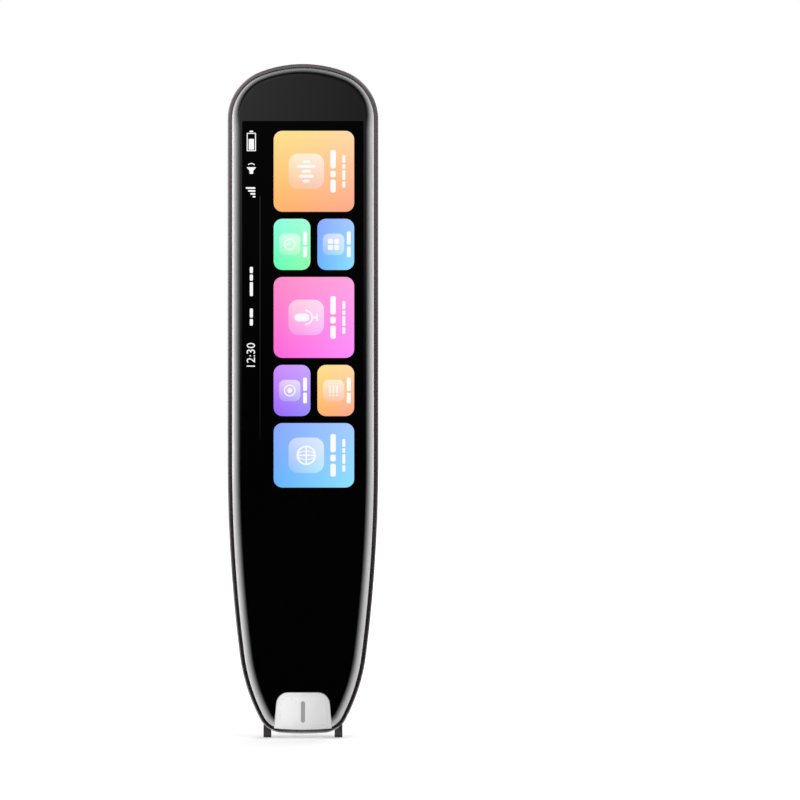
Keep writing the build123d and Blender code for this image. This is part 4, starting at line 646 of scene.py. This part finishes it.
def glass_plate(material):
    """Plate with a curved edge: depth at a distance d inside its rim is R - sqrt(R^2 - (reach - d)^2)

    Rows of points follow the outline at growing insets, and a flat face closes the middle.
    """
    tilt = np.linspace(math.asin(EDGE_REACH / EDGE_RADIUS), 0, 13)
    distance = np.concatenate([EDGE_REACH - EDGE_RADIUS * np.sin(tilt), [EDGE_REACH + 0.35]])
    depth = np.concatenate([EDGE_RADIUS * (1 - np.cos(tilt)), [0.0]])
    rows = [glass_row(GLASS_INSET + inset) for inset in distance]
    count = len(rows[0])
    last = len(rows) - 1
    top = notch_top()

    def at(flat, level):
        flat = np.asarray(flat)
        y = np.broadcast_to(np.asarray(level, float), len(flat)) * MM + GLASS_FRONT
        return np.stack([flat[:, 0] * MM, y, flat[:, 1] * MM], axis=1)

    points = [at(row, level) for row, level in zip(rows, depth)]
    along = np.linspace(0, 1, count)
    maps = [np.stack([along, np.full(count, inset / UV_REACH)], axis=1) for inset in distance]
    rim_back = count * len(rows)
    points.append(at(rows[0], GLASS_THICKNESS))
    top_front = rim_back + count
    points.append(at(top, 0))
    edge_front = [row * count for row in range(len(rows))]
    edge_front += list(range(top_front, top_front + len(top)))
    edge_front += [row * count + count - 1 for row in range(last, -1, -1)]
    flat = np.concatenate([[row[0] for row in rows[1:]], top, [row[-1] for row in rows[:0:-1]]])
    notch_back = top_front + len(top)
    points.append(at(flat, GLASS_THICKNESS))
    edge_back = [rim_back] + list(range(notch_back, notch_back + len(flat))) + [rim_back + count - 1]
    points = np.concatenate(points)
    uv = np.ones((len(points), 2))
    uv[: rim_back] = np.concatenate(maps)
    uv[rim_back:top_front, 1] = 0.0
    grid = np.arange(rim_back).reshape(len(rows), count)
    band = grid_faces(len(rows), count)
    rim = np.arange(count - 1)
    side = np.stack([rim, rim + rim_back, rim + rim_back + 1, rim + 1], axis=1)
    front = np.array(edge_front)
    back = np.array(edge_back)
    notch = np.stack([back[:-1], front[:-1], front[1:], back[1:]], axis=1)
    face = list(grid[last]) + list(range(top_front + len(top) - 1, top_front - 1, -1))
    rear = list(range(rim_back, rim_back + count)) + edge_back[-2:0:-1]
    faces = band.tolist() + side.tolist() + notch.tolist() + [face, rear[::-1]]
    plate = mesh_piece("glass_plate", points, faces, material, uv)
    plate.data.set_sharp_from_angle(angle=math.radians(25))
    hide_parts("cover_glass")
    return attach(plate, BODY)


# ---- Edge of the window ----
def window_outline(inset):
    """Window's outline moved inwards: slanting sides, round upper corners and the chin's own arc

    An offset keeps each arc's centre and shortens its radius; the bottom moves in a little more.
    """
    low, high = notch_side()
    along = (high - low) / np.linalg.norm(high - low)
    tilt = math.atan2(-along[0], along[1])
    inward = np.array((-math.cos(tilt), -math.sin(tilt)))
    top = high[1] - WINDOW_GAP
    corner_z = top - NOTCH_CORNER
    line_x = high[0] + (high[1] - corner_z) * math.tan(tilt) - WINDOW_GAP / math.cos(tilt)
    corner_centre = (line_x - NOTCH_CORNER / math.cos(tilt), corner_z)
    corner = arc_points(corner_centre, NOTCH_CORNER - inset, math.degrees(tilt), 90, 16, True)
    chin_centre = np.array((0, CHIN + CHIN_RADIUS))
    reach = CHIN_RADIUS - WINDOW_RIM - 1.25 * inset
    base = low + inward * (WINDOW_GAP + inset)
    middle = (chin_centre - base) @ along
    aside = np.linalg.norm(base + along * middle - chin_centre)
    foot = base + along * (middle - math.sqrt(reach**2 - aside**2))
    share = np.linspace(0, 1, 8, endpoint=False)[:, None]
    right = np.concatenate([foot + (corner[0] - foot) * share, corner])
    start = math.degrees(math.atan2(*(foot - chin_centre)[::-1]))
    chin = arc_points(chin_centre, reach, -180 - start, start, 24, True)[1:-1]
    return np.concatenate([right, right[::-1] * (-1, 1), chin])


def window_edge(material):
    """Ground bevel that frames the window: rows of the outline at the profile's insets and depths"""
    outlines = np.stack([window_outline(inset) for inset, _ in WINDOW_PROFILE])
    depth = np.array([depth for _, depth in WINDOW_PROFILE])
    y = np.broadcast_to(GLASS_FRONT / MM + depth[:, None], outlines.shape[:2])
    points = np.stack([outlines[..., 0], y, outlines[..., 1]], axis=-1).reshape(-1, 3) * MM
    faces = ring_faces(*y.shape)
    frame_piece = mesh_piece("window_edge", points, faces.tolist(), material)
    frame_piece.data.set_sharp_from_angle(angle=math.radians(60))
    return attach(frame_piece, BODY)


# ---- Sloping rim of the sound plate's recess ----
def recess_rim(material):
    """Thin lining of the recess: a profile of (reach, depth) carried round a long oval

    The oval's arcs stand on two centres up the middle of the back. Past the flat of the back the
    profile sinks with the back's own curve, R - sqrt(R^2 - x^2). The profile returns below itself,
    so the lining is closed.
    """
    upper = np.array(RECESS_PROFILE)
    lower = upper[::-1] + (LINING, LINING)
    profile = np.concatenate([upper, lower])
    turn = np.radians(np.concatenate([np.linspace(0, 180, 97), np.linspace(180, 360, 97)]))
    centre = RECESS_CENTRE + np.where(np.arange(len(turn)) < 97, 1, -1) * RECESS_STRAIGHT / 2
    x = np.cos(turn)[:, None] * profile[:, 0]
    z = centre[:, None] + np.sin(turn)[:, None] * profile[:, 0]
    past = np.maximum(np.abs(x) - BACK_FLAT_HALF, 0)
    fall = BACK_ROUND - np.sqrt(BACK_ROUND**2 - past**2)
    y = BACK_FACE / MM - profile[:, 1] - fall
    points = np.stack([x, y, z], axis=-1).reshape(-1, 3) * MM
    faces = ring_faces(*x.shape)[:, [0, 3, 2, 1]]
    rim = mesh_piece("recess_rim", points, faces.tolist(), material)
    rim.data.set_sharp_from_angle(angle=math.radians(50))
    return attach(rim, BODY)


# ---- Scan foot ----
def merged_copy(node, name, body, flat_turn=0.0):
    """Copy of a node with its loose triangles merged, and flat parts joined up to a turn in degrees"""
    mesh = frame["nodes"][node].data.copy()
    tidy = bmesh.new()
    tidy.from_mesh(mesh)
    bmesh.ops.remove_doubles(tidy, verts=tidy.verts, dist=0.002 * MM)
    if flat_turn:
        limit = math.radians(flat_turn)
        bmesh.ops.dissolve_limit(tidy, angle_limit=limit, verts=tidy.verts, edges=tidy.edges)
    tidy.to_mesh(mesh)
    tidy.free()
    mesh.polygons.foreach_set("use_smooth", np.full(len(mesh.polygons), True))
    piece = bpy.data.objects.new(name, mesh)
    bpy.context.scene.collection.objects.link(piece)
    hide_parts(node)
    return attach(piece, body)


def soft_foot():
    """Scan foot with its sharp edges rounded by a bevel"""
    piece = merged_copy("scan_foot", "scan_foot_soft", "scan_fork", 1.0)
    bevel = piece.modifiers.new("edges", "BEVEL")
    bevel.width = FOOT_EDGE
    bevel.segments = 3
    bevel.limit_method = "ANGLE"
    bevel.angle_limit = math.radians(35)
    bevel.harden_normals = True
    return piece


def pressed_springs():
    """Copy of the foot's springs with merged triangles, sharp edges past 40 degrees and a mesh of its own"""
    springs = merged_copy("foot_springs", "springs", BODY)
    springs.data.set_sharp_from_angle(angle=math.radians(40))
    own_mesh(springs)
    return springs


# ---- Drawing on the screen: (right, up) of the picture, which lies along +Z and -X of the pen ----
def fan(outline):
    """Closed outline filled by triangles from its middle"""
    count = len(outline)
    ring = np.arange(count) + 1
    faces = np.stack([np.zeros(count, int), ring, np.roll(ring, -1)], axis=1)
    return np.vstack([outline.mean(0), outline]), faces


def rounded_box(width, height, corner, centre=(0, 0), turn=0.0, steps=9):
    """Rounded rectangle: quarter circles about four corner centres, turned about its middle"""
    corner = min(corner, width / 2, height / 2)
    parts = []
    for index, (side, up) in enumerate(((1, 1), (-1, 1), (-1, -1), (1, -1))):
        middle = (side * (width / 2 - corner), up * (height / 2 - corner))
        parts.append(arc_points(middle, corner, 90 * index, 90 * index + 90, steps, True))
    outline = np.concatenate(parts)
    cos, sin = math.cos(math.radians(turn)), math.sin(math.radians(turn))
    return fan(outline @ np.array([(cos, sin), (-sin, cos)]) + centre)


def bar(length, width, centre=(0, 0), turn=0.0):
    return rounded_box(length, width, width / 2, centre, turn)


def ring(outer, inner, centre=(0, 0), start=0, stop=360, squeeze=1.0):
    """Band between two radii over a span of angles, narrowed sideways by a factor"""
    steps = 48
    arcs = [arc_points((0, 0), radius, start, stop, steps, True) for radius in (outer, inner)]
    shape = np.concatenate(arcs)
    low = np.arange(steps - 1)
    faces = np.stack([low, low + 1, low + 1 + steps, low + steps], axis=1)
    return shape * (squeeze, 1) + centre, faces


def dot(radius, centre=(0, 0)):
    return fan(arc_points(centre, radius, 0, 360, 32))


def wave_icon():
    heights = ((-1.0, 0.7), (-0.5, 1.5), (0.0, 1.0), (0.5, 1.9), (1.0, 0.8))
    return [bar(height, 0.3, (place, 0), 90) for place, height in heights]


def clock_icon():
    return [ring(1.0, 0.78), bar(0.75, 0.2, (0, 0.28), 90), bar(0.6, 0.2, (0.2, 0))]


def grid_icon():
    return [rounded_box(0.85, 0.85, 0.22, (x, y)) for x in (-0.52, 0.52) for y in (-0.52, 0.52)]


def microphone_icon():
    stand = [ring(0.8, 0.62, (0, 0.1), 180, 360), bar(0.5, 0.18, (0, -0.85), 90), bar(0.8, 0.18, (0, -1.1))]
    return [bar(1.5, 0.8, (0, 0.45), 90)] + stand


def target_icon():
    return [ring(1.0, 0.8), dot(0.42)]


def list_icon():
    rows = (-0.6, 0.0, 0.6)
    return [dot(0.16, (-0.8, row)) for row in rows] + [bar(1.3, 0.24, (0.2, row)) for row in rows]


def globe_icon():
    return [ring(1.0, 0.82), ring(1.0, 0.8, squeeze=0.48), bar(1.9, 0.16), bar(1.9, 0.16, (0, 0), 90)]


def words(lengths, height, centre=(0, 0)):
    """Row of plain blocks of several lengths that stands for a line of words"""
    gap = 0.45 * height
    left = centre[0] - (sum(lengths) + gap * (len(lengths) - 1)) / 2
    row = []
    for length in lengths:
        row.append(rounded_box(length, height, 0.3 * height, (left + length / 2, centre[1])))
        left += length + gap
    return row


def placed(shapes, centre, size=1.0):
    """Shapes scaled and laid with (right, up) of the picture along +Z and -X; centre is (x, z)"""
    laid = []
    for points, faces in shapes:
        flat = np.stack([centre[0] - points[:, 1] * size, centre[1] + points[:, 0] * size], axis=1)
        laid.append((flat, faces))
    return laid


def screen_sheet(name, shapes, lift, material):
    """One thin sheet of many flat shapes, a hair in front of the glass"""
    points = []
    faces = []
    count = 0
    for flat, corners in shapes:
        points.append(flat)
        faces += (corners + count).tolist()
        count += len(flat)
    flat = np.concatenate(points)
    level = np.full(count, GLASS_FRONT - lift * MM)
    span = flat.max(0) - flat.min(0)
    uv = (flat - flat.min(0)) / span
    points = np.stack([flat[:, 0] * MM, level, flat[:, 1] * MM], axis=1)
    sheet = mesh_piece(name, points, faces, material, uv, False)
    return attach(sheet, BODY)


def glow(name, corners, gloss=0.1):
    """Lit patch of the screen: its colour spreads between four corner colours"""
    material, tree, shader = new_material(name)
    blend = use_group(tree, CORNERS)
    for socket, colour in zip(blend.inputs, corners):
        socket.default_value = (*colour, 1)
    shader.inputs["Base Color"].default_value = (0.0005, 0.0005, 0.0005, 1)
    shader.inputs["Roughness"].default_value = 0.08
    shader.inputs["Specular IOR Level"].default_value = gloss
    feed(tree, blend.outputs["Colour"], shader.inputs["Emission Color"])
    shader.inputs["Emission Strength"].default_value = 1.0
    return material


def linear(shown):
    """Linear colour of a colour as shown on a screen"""
    return tuple(part / 12.92 if part <= 0.04045 else ((part + 0.055) / 1.055) ** 2.4 for part in shown)


def paler(colour, share):
    return tuple(part + (1 - part) * share for part in colour)


# Hue of each tile in degrees
TILE_HUES = {"orange": 30, "green": 150, "pink": 315, "purple": 260, "blue": 210}
# Corners low left, low right, high left, high right: turn of the hue in degrees and saturation
TILE_CORNERS = ((0, 0.6), (-15, 0.45), (15, 0.45), (5, 0.35))


# Rows of tiles from the top: height, then (colour, icon) side by side
TILE_ROWS = [
    (19.6, [("orange", wave_icon)]),
    (12.4, [("green", clock_icon), ("blue", grid_icon)]),
    (19.6, [("pink", microphone_icon)]),
    (12.4, [("purple", target_icon), ("orange", list_icon)]),
    (15.6, [("blue", globe_icon)]),
]


def screen_tiles(white):
    """Rows of glowing tiles, each with a soft square, an icon and a plain bar for its label"""
    tiles = {}
    softs = {}
    for colour, hue in TILE_HUES.items():
        corners = []
        for turn, saturation in TILE_CORNERS:
            corners.append(linear(colorsys.hsv_to_rgb((hue + turn) / 360, saturation, 1.0)))
        tiles[colour] = glow(f"tile_{colour}", corners)
        shares = (0.18, 0.3, 0.45, 0.6)
        softs[colour] = glow(f"soft_{colour}", [paler(*pair) for pair in zip(corners, shares)])
    top = TILE_TOP
    for row, (height, items) in enumerate(TILE_ROWS):
        width = (TILE_RIGHT - TILE_LEFT - TILE_GAP * (len(items) - 1)) / len(items)
        wide = len(items) == 1
        middle = top - height / 2
        for column, (colour, icon) in enumerate(items):
            left = TILE_LEFT + column * (width + TILE_GAP)
            label = f"{row}_{column}"
            tile = placed([rounded_box(height, width, TILE_CORNER)], (left + width / 2, middle))
            screen_sheet(f"screen_tile_{label}", tile, TILE_LIFT, tiles[colour])
            size = 4.3 if wide else 2.6
            icon_x = left + (7.9 if wide else 3.9)
            soft = placed([rounded_box(2 * size, 2 * size, size * 0.55)], (icon_x, middle))
            screen_sheet(f"screen_soft_{label}", soft, SOFT_LIFT, softs[colour])
            glyph = placed(icon(), (icon_x, middle), size * 0.55)
            if wide:
                glyph += placed(words((3.1, 1.6, 4.4), 1.3), (left + 14.4, middle))
                glyph += placed(words((1.5, 2.4, 1.1, 1.9), 0.7), (left + 17.0, middle))
            else:
                glyph += placed(words((2.6, 3.2), 0.95), (left + 7.6, middle))
            screen_sheet(f"screen_icon_{label}", glyph, GLYPH_LIFT, white)
        top -= height + TILE_GAP


def clock_digits(size, centre):
    """Plain digits of a clock as flat faces, centred on (x, z)"""
    text = bpy.data.curves.new("clock_digits", "FONT")
    text.body = "12:30"
    text.size = size
    text.align_x = "CENTER"
    text.align_y = "CENTER"
    text.resolution_u = 3
    holder = bpy.data.objects.new("clock_digits", text)
    mesh = bpy.data.meshes.new_from_object(holder)
    points = np.zeros(len(mesh.vertices) * 3)
    mesh.vertices.foreach_get("co", points)
    faces = np.array([triangle.vertices[:] for triangle in mesh.loop_triangles])
    bpy.data.objects.remove(holder)
    return placed([(points.reshape(-1, 3)[:, :2], faces)], centre)


def status_column(white):
    """Battery, speaker and signal bars, a plain date line and a clock, up the left of the screen"""
    x = STATUS_X
    battery = [bar(4.4, 0.22, (0, side)) for side in (-1.0, 1.0)]
    battery += [bar(2.2, 0.22, (side, 0), 90) for side in (-2.1, 2.1)]
    battery += [rounded_box(2.6, 1.3, 0.2, (-0.55, 0)), bar(0.9, 0.4, (2.55, 0), 90)]
    shapes = placed(battery, (x, 144.6))
    cone = (np.array([(-0.4, -0.45), (0.5, -1.15), (0.5, 1.15), (-0.4, 0.45)]), np.array([(0, 1, 2, 3)]))
    speaker = [rounded_box(0.8, 0.9, 0.1, (-0.7, 0)), cone, ring(1.2, 0.98, (0.3, 0), -45, 45)]
    shapes += placed(speaker, (x, 138.0))
    signal = [bar(0.7 + 0.55 * step, 0.42, (0.7 * step - 1.05, 0.28 * step - 0.65), 90) for step in range(4)]
    shapes += placed(signal, (x, 132.4))
    shapes += placed(words((1.6, 2.2), 0.75, (-5.4, 0)) + words((3.4, 1.5, 1.5), 0.75, (3.2, 0)), (x, 107.6))
    shapes += clock_digits(2.9, (x, 92.8))
    screen_sheet("screen_status", shapes, GLYPH_LIFT, white)


def screen_picture():
    """What the screen shows: a black panel, a faint line, the status column and the tiles"""
    middle = ((SCREEN_LEFT + SCREEN_RIGHT) / 2, (SCREEN_LOW + SCREEN_HIGH) / 2)
    size = (SCREEN_HIGH - SCREEN_LOW, SCREEN_RIGHT - SCREEN_LEFT)
    dark = glow("screen_black", [(0.0002,) * 3, (0.0005,) * 3, (0.0002,) * 3, (0.0005,) * 3], 0.03)
    screen_sheet("screen_panel", placed([rounded_box(*size, 0.3)], middle), PANEL_LIFT, dark)
    faint = glow("screen_faint", [(0.006,) * 3, (0.006,) * 3, (0.02,) * 3, (0.02,) * 3])
    screen_sheet("screen_line", placed([bar(59.0, 0.2)], (-10.4, 102.0)), TILE_LIFT, faint)
    white = glow("screen_white", [(0.93,) * 3, (0.97,) * 3, (0.95,) * 3, (1.0,) * 3])
    status_column(white)
    screen_tiles(white)


# ---- Stage ----
def plain(name, colour):
    material, tree, shader = new_material(name)
    shader.inputs["Base Color"].default_value = colour
    shader.inputs["Roughness"].default_value = 0.9
    return material, tree, shader


def floor():
    """Pale floor; what the camera and reflections see of it is lifted to the backdrop's white"""
    material, tree, shader = plain("floor", FLOOR_COLOUR)
    rays = add(tree, "ShaderNodeLightPath")
    seen = math_node(tree, "MAXIMUM", rays.outputs["Is Camera Ray"], rays.outputs["Is Glossy Ray"])
    seen = math_node(tree, "MAXIMUM", seen, rays.outputs["Is Transmission Ray"])
    away = add(tree, "ShaderNodeVectorMath", operation="LENGTH")
    feed(tree, add(tree, "ShaderNodeTexCoord").outputs["Object"], away.inputs[0])
    level = ranged(tree, away.outputs["Value"], 0.12, 0.8, FLOOR_LIFT_NEAR, FLOOR_LIFT_FAR)
    lift = add(tree, "ShaderNodeEmission")
    lift.inputs["Color"].default_value = (1, 1, 1, 1)
    feed(tree, math_node(tree, "MULTIPLY", seen, level), lift.inputs["Strength"])
    both = add(tree, "ShaderNodeAddShader")
    feed(tree, shader.outputs[0], both.inputs[0])
    feed(tree, lift.outputs[0], both.inputs[1])
    output = next(node for node in tree.nodes if node.type == "OUTPUT_MATERIAL")
    feed(tree, both.outputs[0], output.inputs["Surface"])
    points = np.array([(-1, -1, 0), (1, -1, 0), (1, 1, 0), (-1, 1, 0)]) * FLOOR_REACH
    piece = mesh_piece("floor", points, np.array([(0, 1, 2, 3)]), material)


def world():
    """Soft grey light all round; the camera, gloss and clear pieces see it white"""
    scene_world = bpy.data.worlds.new("studio")
    bpy.context.scene.world = scene_world
    scene_world.use_nodes = True
    tree = scene_world.node_tree
    tree.nodes.clear()
    rays = add(tree, "ShaderNodeLightPath")
    seen = math_node(tree, "MAXIMUM", rays.outputs["Is Camera Ray"], rays.outputs["Is Glossy Ray"])
    seen = math_node(tree, "MAXIMUM", seen, rays.outputs["Is Transmission Ray"])
    soft = add(tree, "ShaderNodeBackground")
    soft.inputs["Strength"].default_value = WORLD_STRENGTH
    white = add(tree, "ShaderNodeBackground")
    white.inputs["Color"].default_value = (1, 1, 1, 1)
    soft.inputs["Color"].default_value = (1, 1, 1, 1)
    both = add(tree, "ShaderNodeMixShader")
    feed(tree, seen, both.inputs[0])
    feed(tree, soft.outputs[0], both.inputs[1])
    feed(tree, white.outputs[0], both.inputs[2])
    feed(tree, both.outputs[0], add(tree, "ShaderNodeOutputWorld").inputs["Surface"])


def softbox(name, place, size, watts):
    """Rectangular lamp aimed at the middle of the pen"""
    data = bpy.data.lights.new(name, "AREA")
    data.shape = "RECTANGLE"
    data.size, data.size_y = size
    data.energy = watts
    lamp_object = bpy.data.objects.new(name, data)
    bpy.context.scene.collection.objects.link(lamp_object)
    lamp_object.location = place
    aim = Vector((0, 0, CAMERA_HEIGHT)) - Vector(place)
    lamp_object.rotation_euler = aim.to_track_quat("-Z", "Y").to_euler()
    lamp_object.visible_glossy = False


def reflected_only(name, points, faces, shine):
    """Card or cloth of the light tent that only reflections see; shine is its glow at each point"""
    material = bpy.data.materials.new(name)
    material.use_nodes = True
    material.cycles.emission_sampling = "NONE"
    tree = material.node_tree
    tree.nodes.clear()
    light = add(tree, "ShaderNodeEmission")
    glow_at = add(tree, "ShaderNodeAttribute", attribute_name="shine")
    feed(tree, glow_at.outputs["Fac"], light.inputs["Strength"])
    feed(tree, light.outputs[0], add(tree, "ShaderNodeOutputMaterial").inputs["Surface"])
    card = mesh_piece(name, points, faces, material)
    card.data.attributes.new("shine", "FLOAT", "POINT").data.foreach_set("value", shine.astype(np.float32))
    card.visible_camera = False
    card.visible_diffuse = False
    card.visible_shadow = False
    card.visible_transmission = False


def bump_of(value, centre, width):
    return np.exp(-0.5 * ((value - centre) / width) ** 2)


def tent_shine(turn, lift):
    """Glow of the tent by direction: turn from +Y towards -X and height above the floor, in degrees

    Soft strips stand at both sides and behind to the right, dark flags between them, and a
    broad light hangs over the front. Each is a bell curve of the angle.
    """
    side = TENT_DARK + sum(strength * bump_of(turn, centre, width) for strength, centre, width in TENT_STRIPS)
    side *= 1 - 0.85 / (1 + np.exp((38 - lift) / 5))
    over = 1.3 * bump_of(lift, 52, 11) * (0.1 + bump_of(np.abs(turn), 115, 32))
    return side + over + 0.25 * bump_of(lift, 90, 15)


def floor_shine(turn):
    """Glow of the cloth on the floor: the tent's own, dimmed, but less so behind and beside the pen"""
    kept = 0.25 + 0.65 * bump_of(turn, -38, 22) + 0.35 * bump_of(np.abs(turn), 108, 14)
    return tent_shine(turn, np.zeros_like(turn)) * kept


def light_tent():
    """Dome and floor cloth about the pen, closed to reflections"""
    turn, lift = np.meshgrid(np.linspace(-180, 180, 145), np.linspace(-3, 90, 48))
    a, b = np.radians(turn), np.radians(lift)
    dome = np.stack([-np.sin(a) * np.cos(b), np.cos(a) * np.cos(b), np.sin(b)], axis=-1) * TENT_RADIUS
    reach = np.linspace(0.012, TENT_RADIUS, 30)
    a_floor, r_floor = np.meshgrid(np.linspace(-180, 180, 145), reach)
    turned = np.radians(a_floor)
    level = np.full_like(r_floor, 0.6 * MM)
    cloth = np.stack([-np.sin(turned) * r_floor, np.cos(turned) * r_floor, level], axis=-1)
    for name, grid, shine in (
        ("tent_dome", dome, tent_shine(turn, lift)),
        ("tent_floor", cloth, floor_shine(a_floor)),
    ):
        faces = grid_faces(*grid.shape[:2])
        reflected_only(name, grid.reshape(-1, 3), faces.tolist(), shine.ravel())


def front_card():
    """Card behind the camera: dark below, glowing softly above, more to the left"""
    x, z = np.meshgrid(np.linspace(-0.35, 0.35, 57), np.linspace(-0.2, 0.6, 65))
    rise = np.clip((z - 0.03) / 0.27, 0, 1)
    rise = rise * rise * (3 - 2 * rise)
    left = np.clip((0.06 - x) / 0.12, 0, 1)
    shine = rise * (0.28 + 0.52 * left) * np.exp(-0.5 * (np.maximum(np.abs(x) - 0.12, 0) / 0.1) ** 2)
    points = np.stack([x, np.full_like(x, -1.1), z], axis=-1)
    faces = grid_faces(*x.shape)
    reflected_only("front_card", points.reshape(-1, 3), faces.tolist(), shine.ravel() + 0.003)


def studio():
    floor()
    world()
    softbox("side_left", (-0.75, -0.2, 0.12), (0.28, 0.7), 4.0)
    softbox("side_right", (0.75, -0.2, 0.12), (0.28, 0.7), 3.4)
    softbox("overhead", (0.1, 0.1, 0.85), (0.6, 0.5), 2.6)
    softbox("back_right", (0.55, 0.75, 0.4), (0.5, 0.6), 2.6)
    light_tent()
    front_card()


def camera():
    data = bpy.data.cameras.new("camera")
    data.lens = LENS_MM
    data.sensor_width = SENSOR_MM
    data.shift_x = CAMERA_SHIFT
    data.dof.use_dof = False
    view = bpy.data.objects.new("camera", data)
    bpy.context.scene.collection.objects.link(view)
    distance = FRAME_WIDTH * LENS_MM / SENSOR_MM
    view.location = (0, GLASS_FRONT - distance, CAMERA_HEIGHT)
    view.rotation_euler = (math.pi / 2, 0, 0)
    bpy.context.scene.camera = view


camera()
studio()
finishes = dress_nodes()
glass_plate(finishes["cover_glass"])
window_edge(window_bevel_highlight())
recess_rim(finishes["shell_metal"])
soft_foot()
pressed_springs()
screen_picture()
bpy.context.scene.view_settings.view_transform = "Standard"
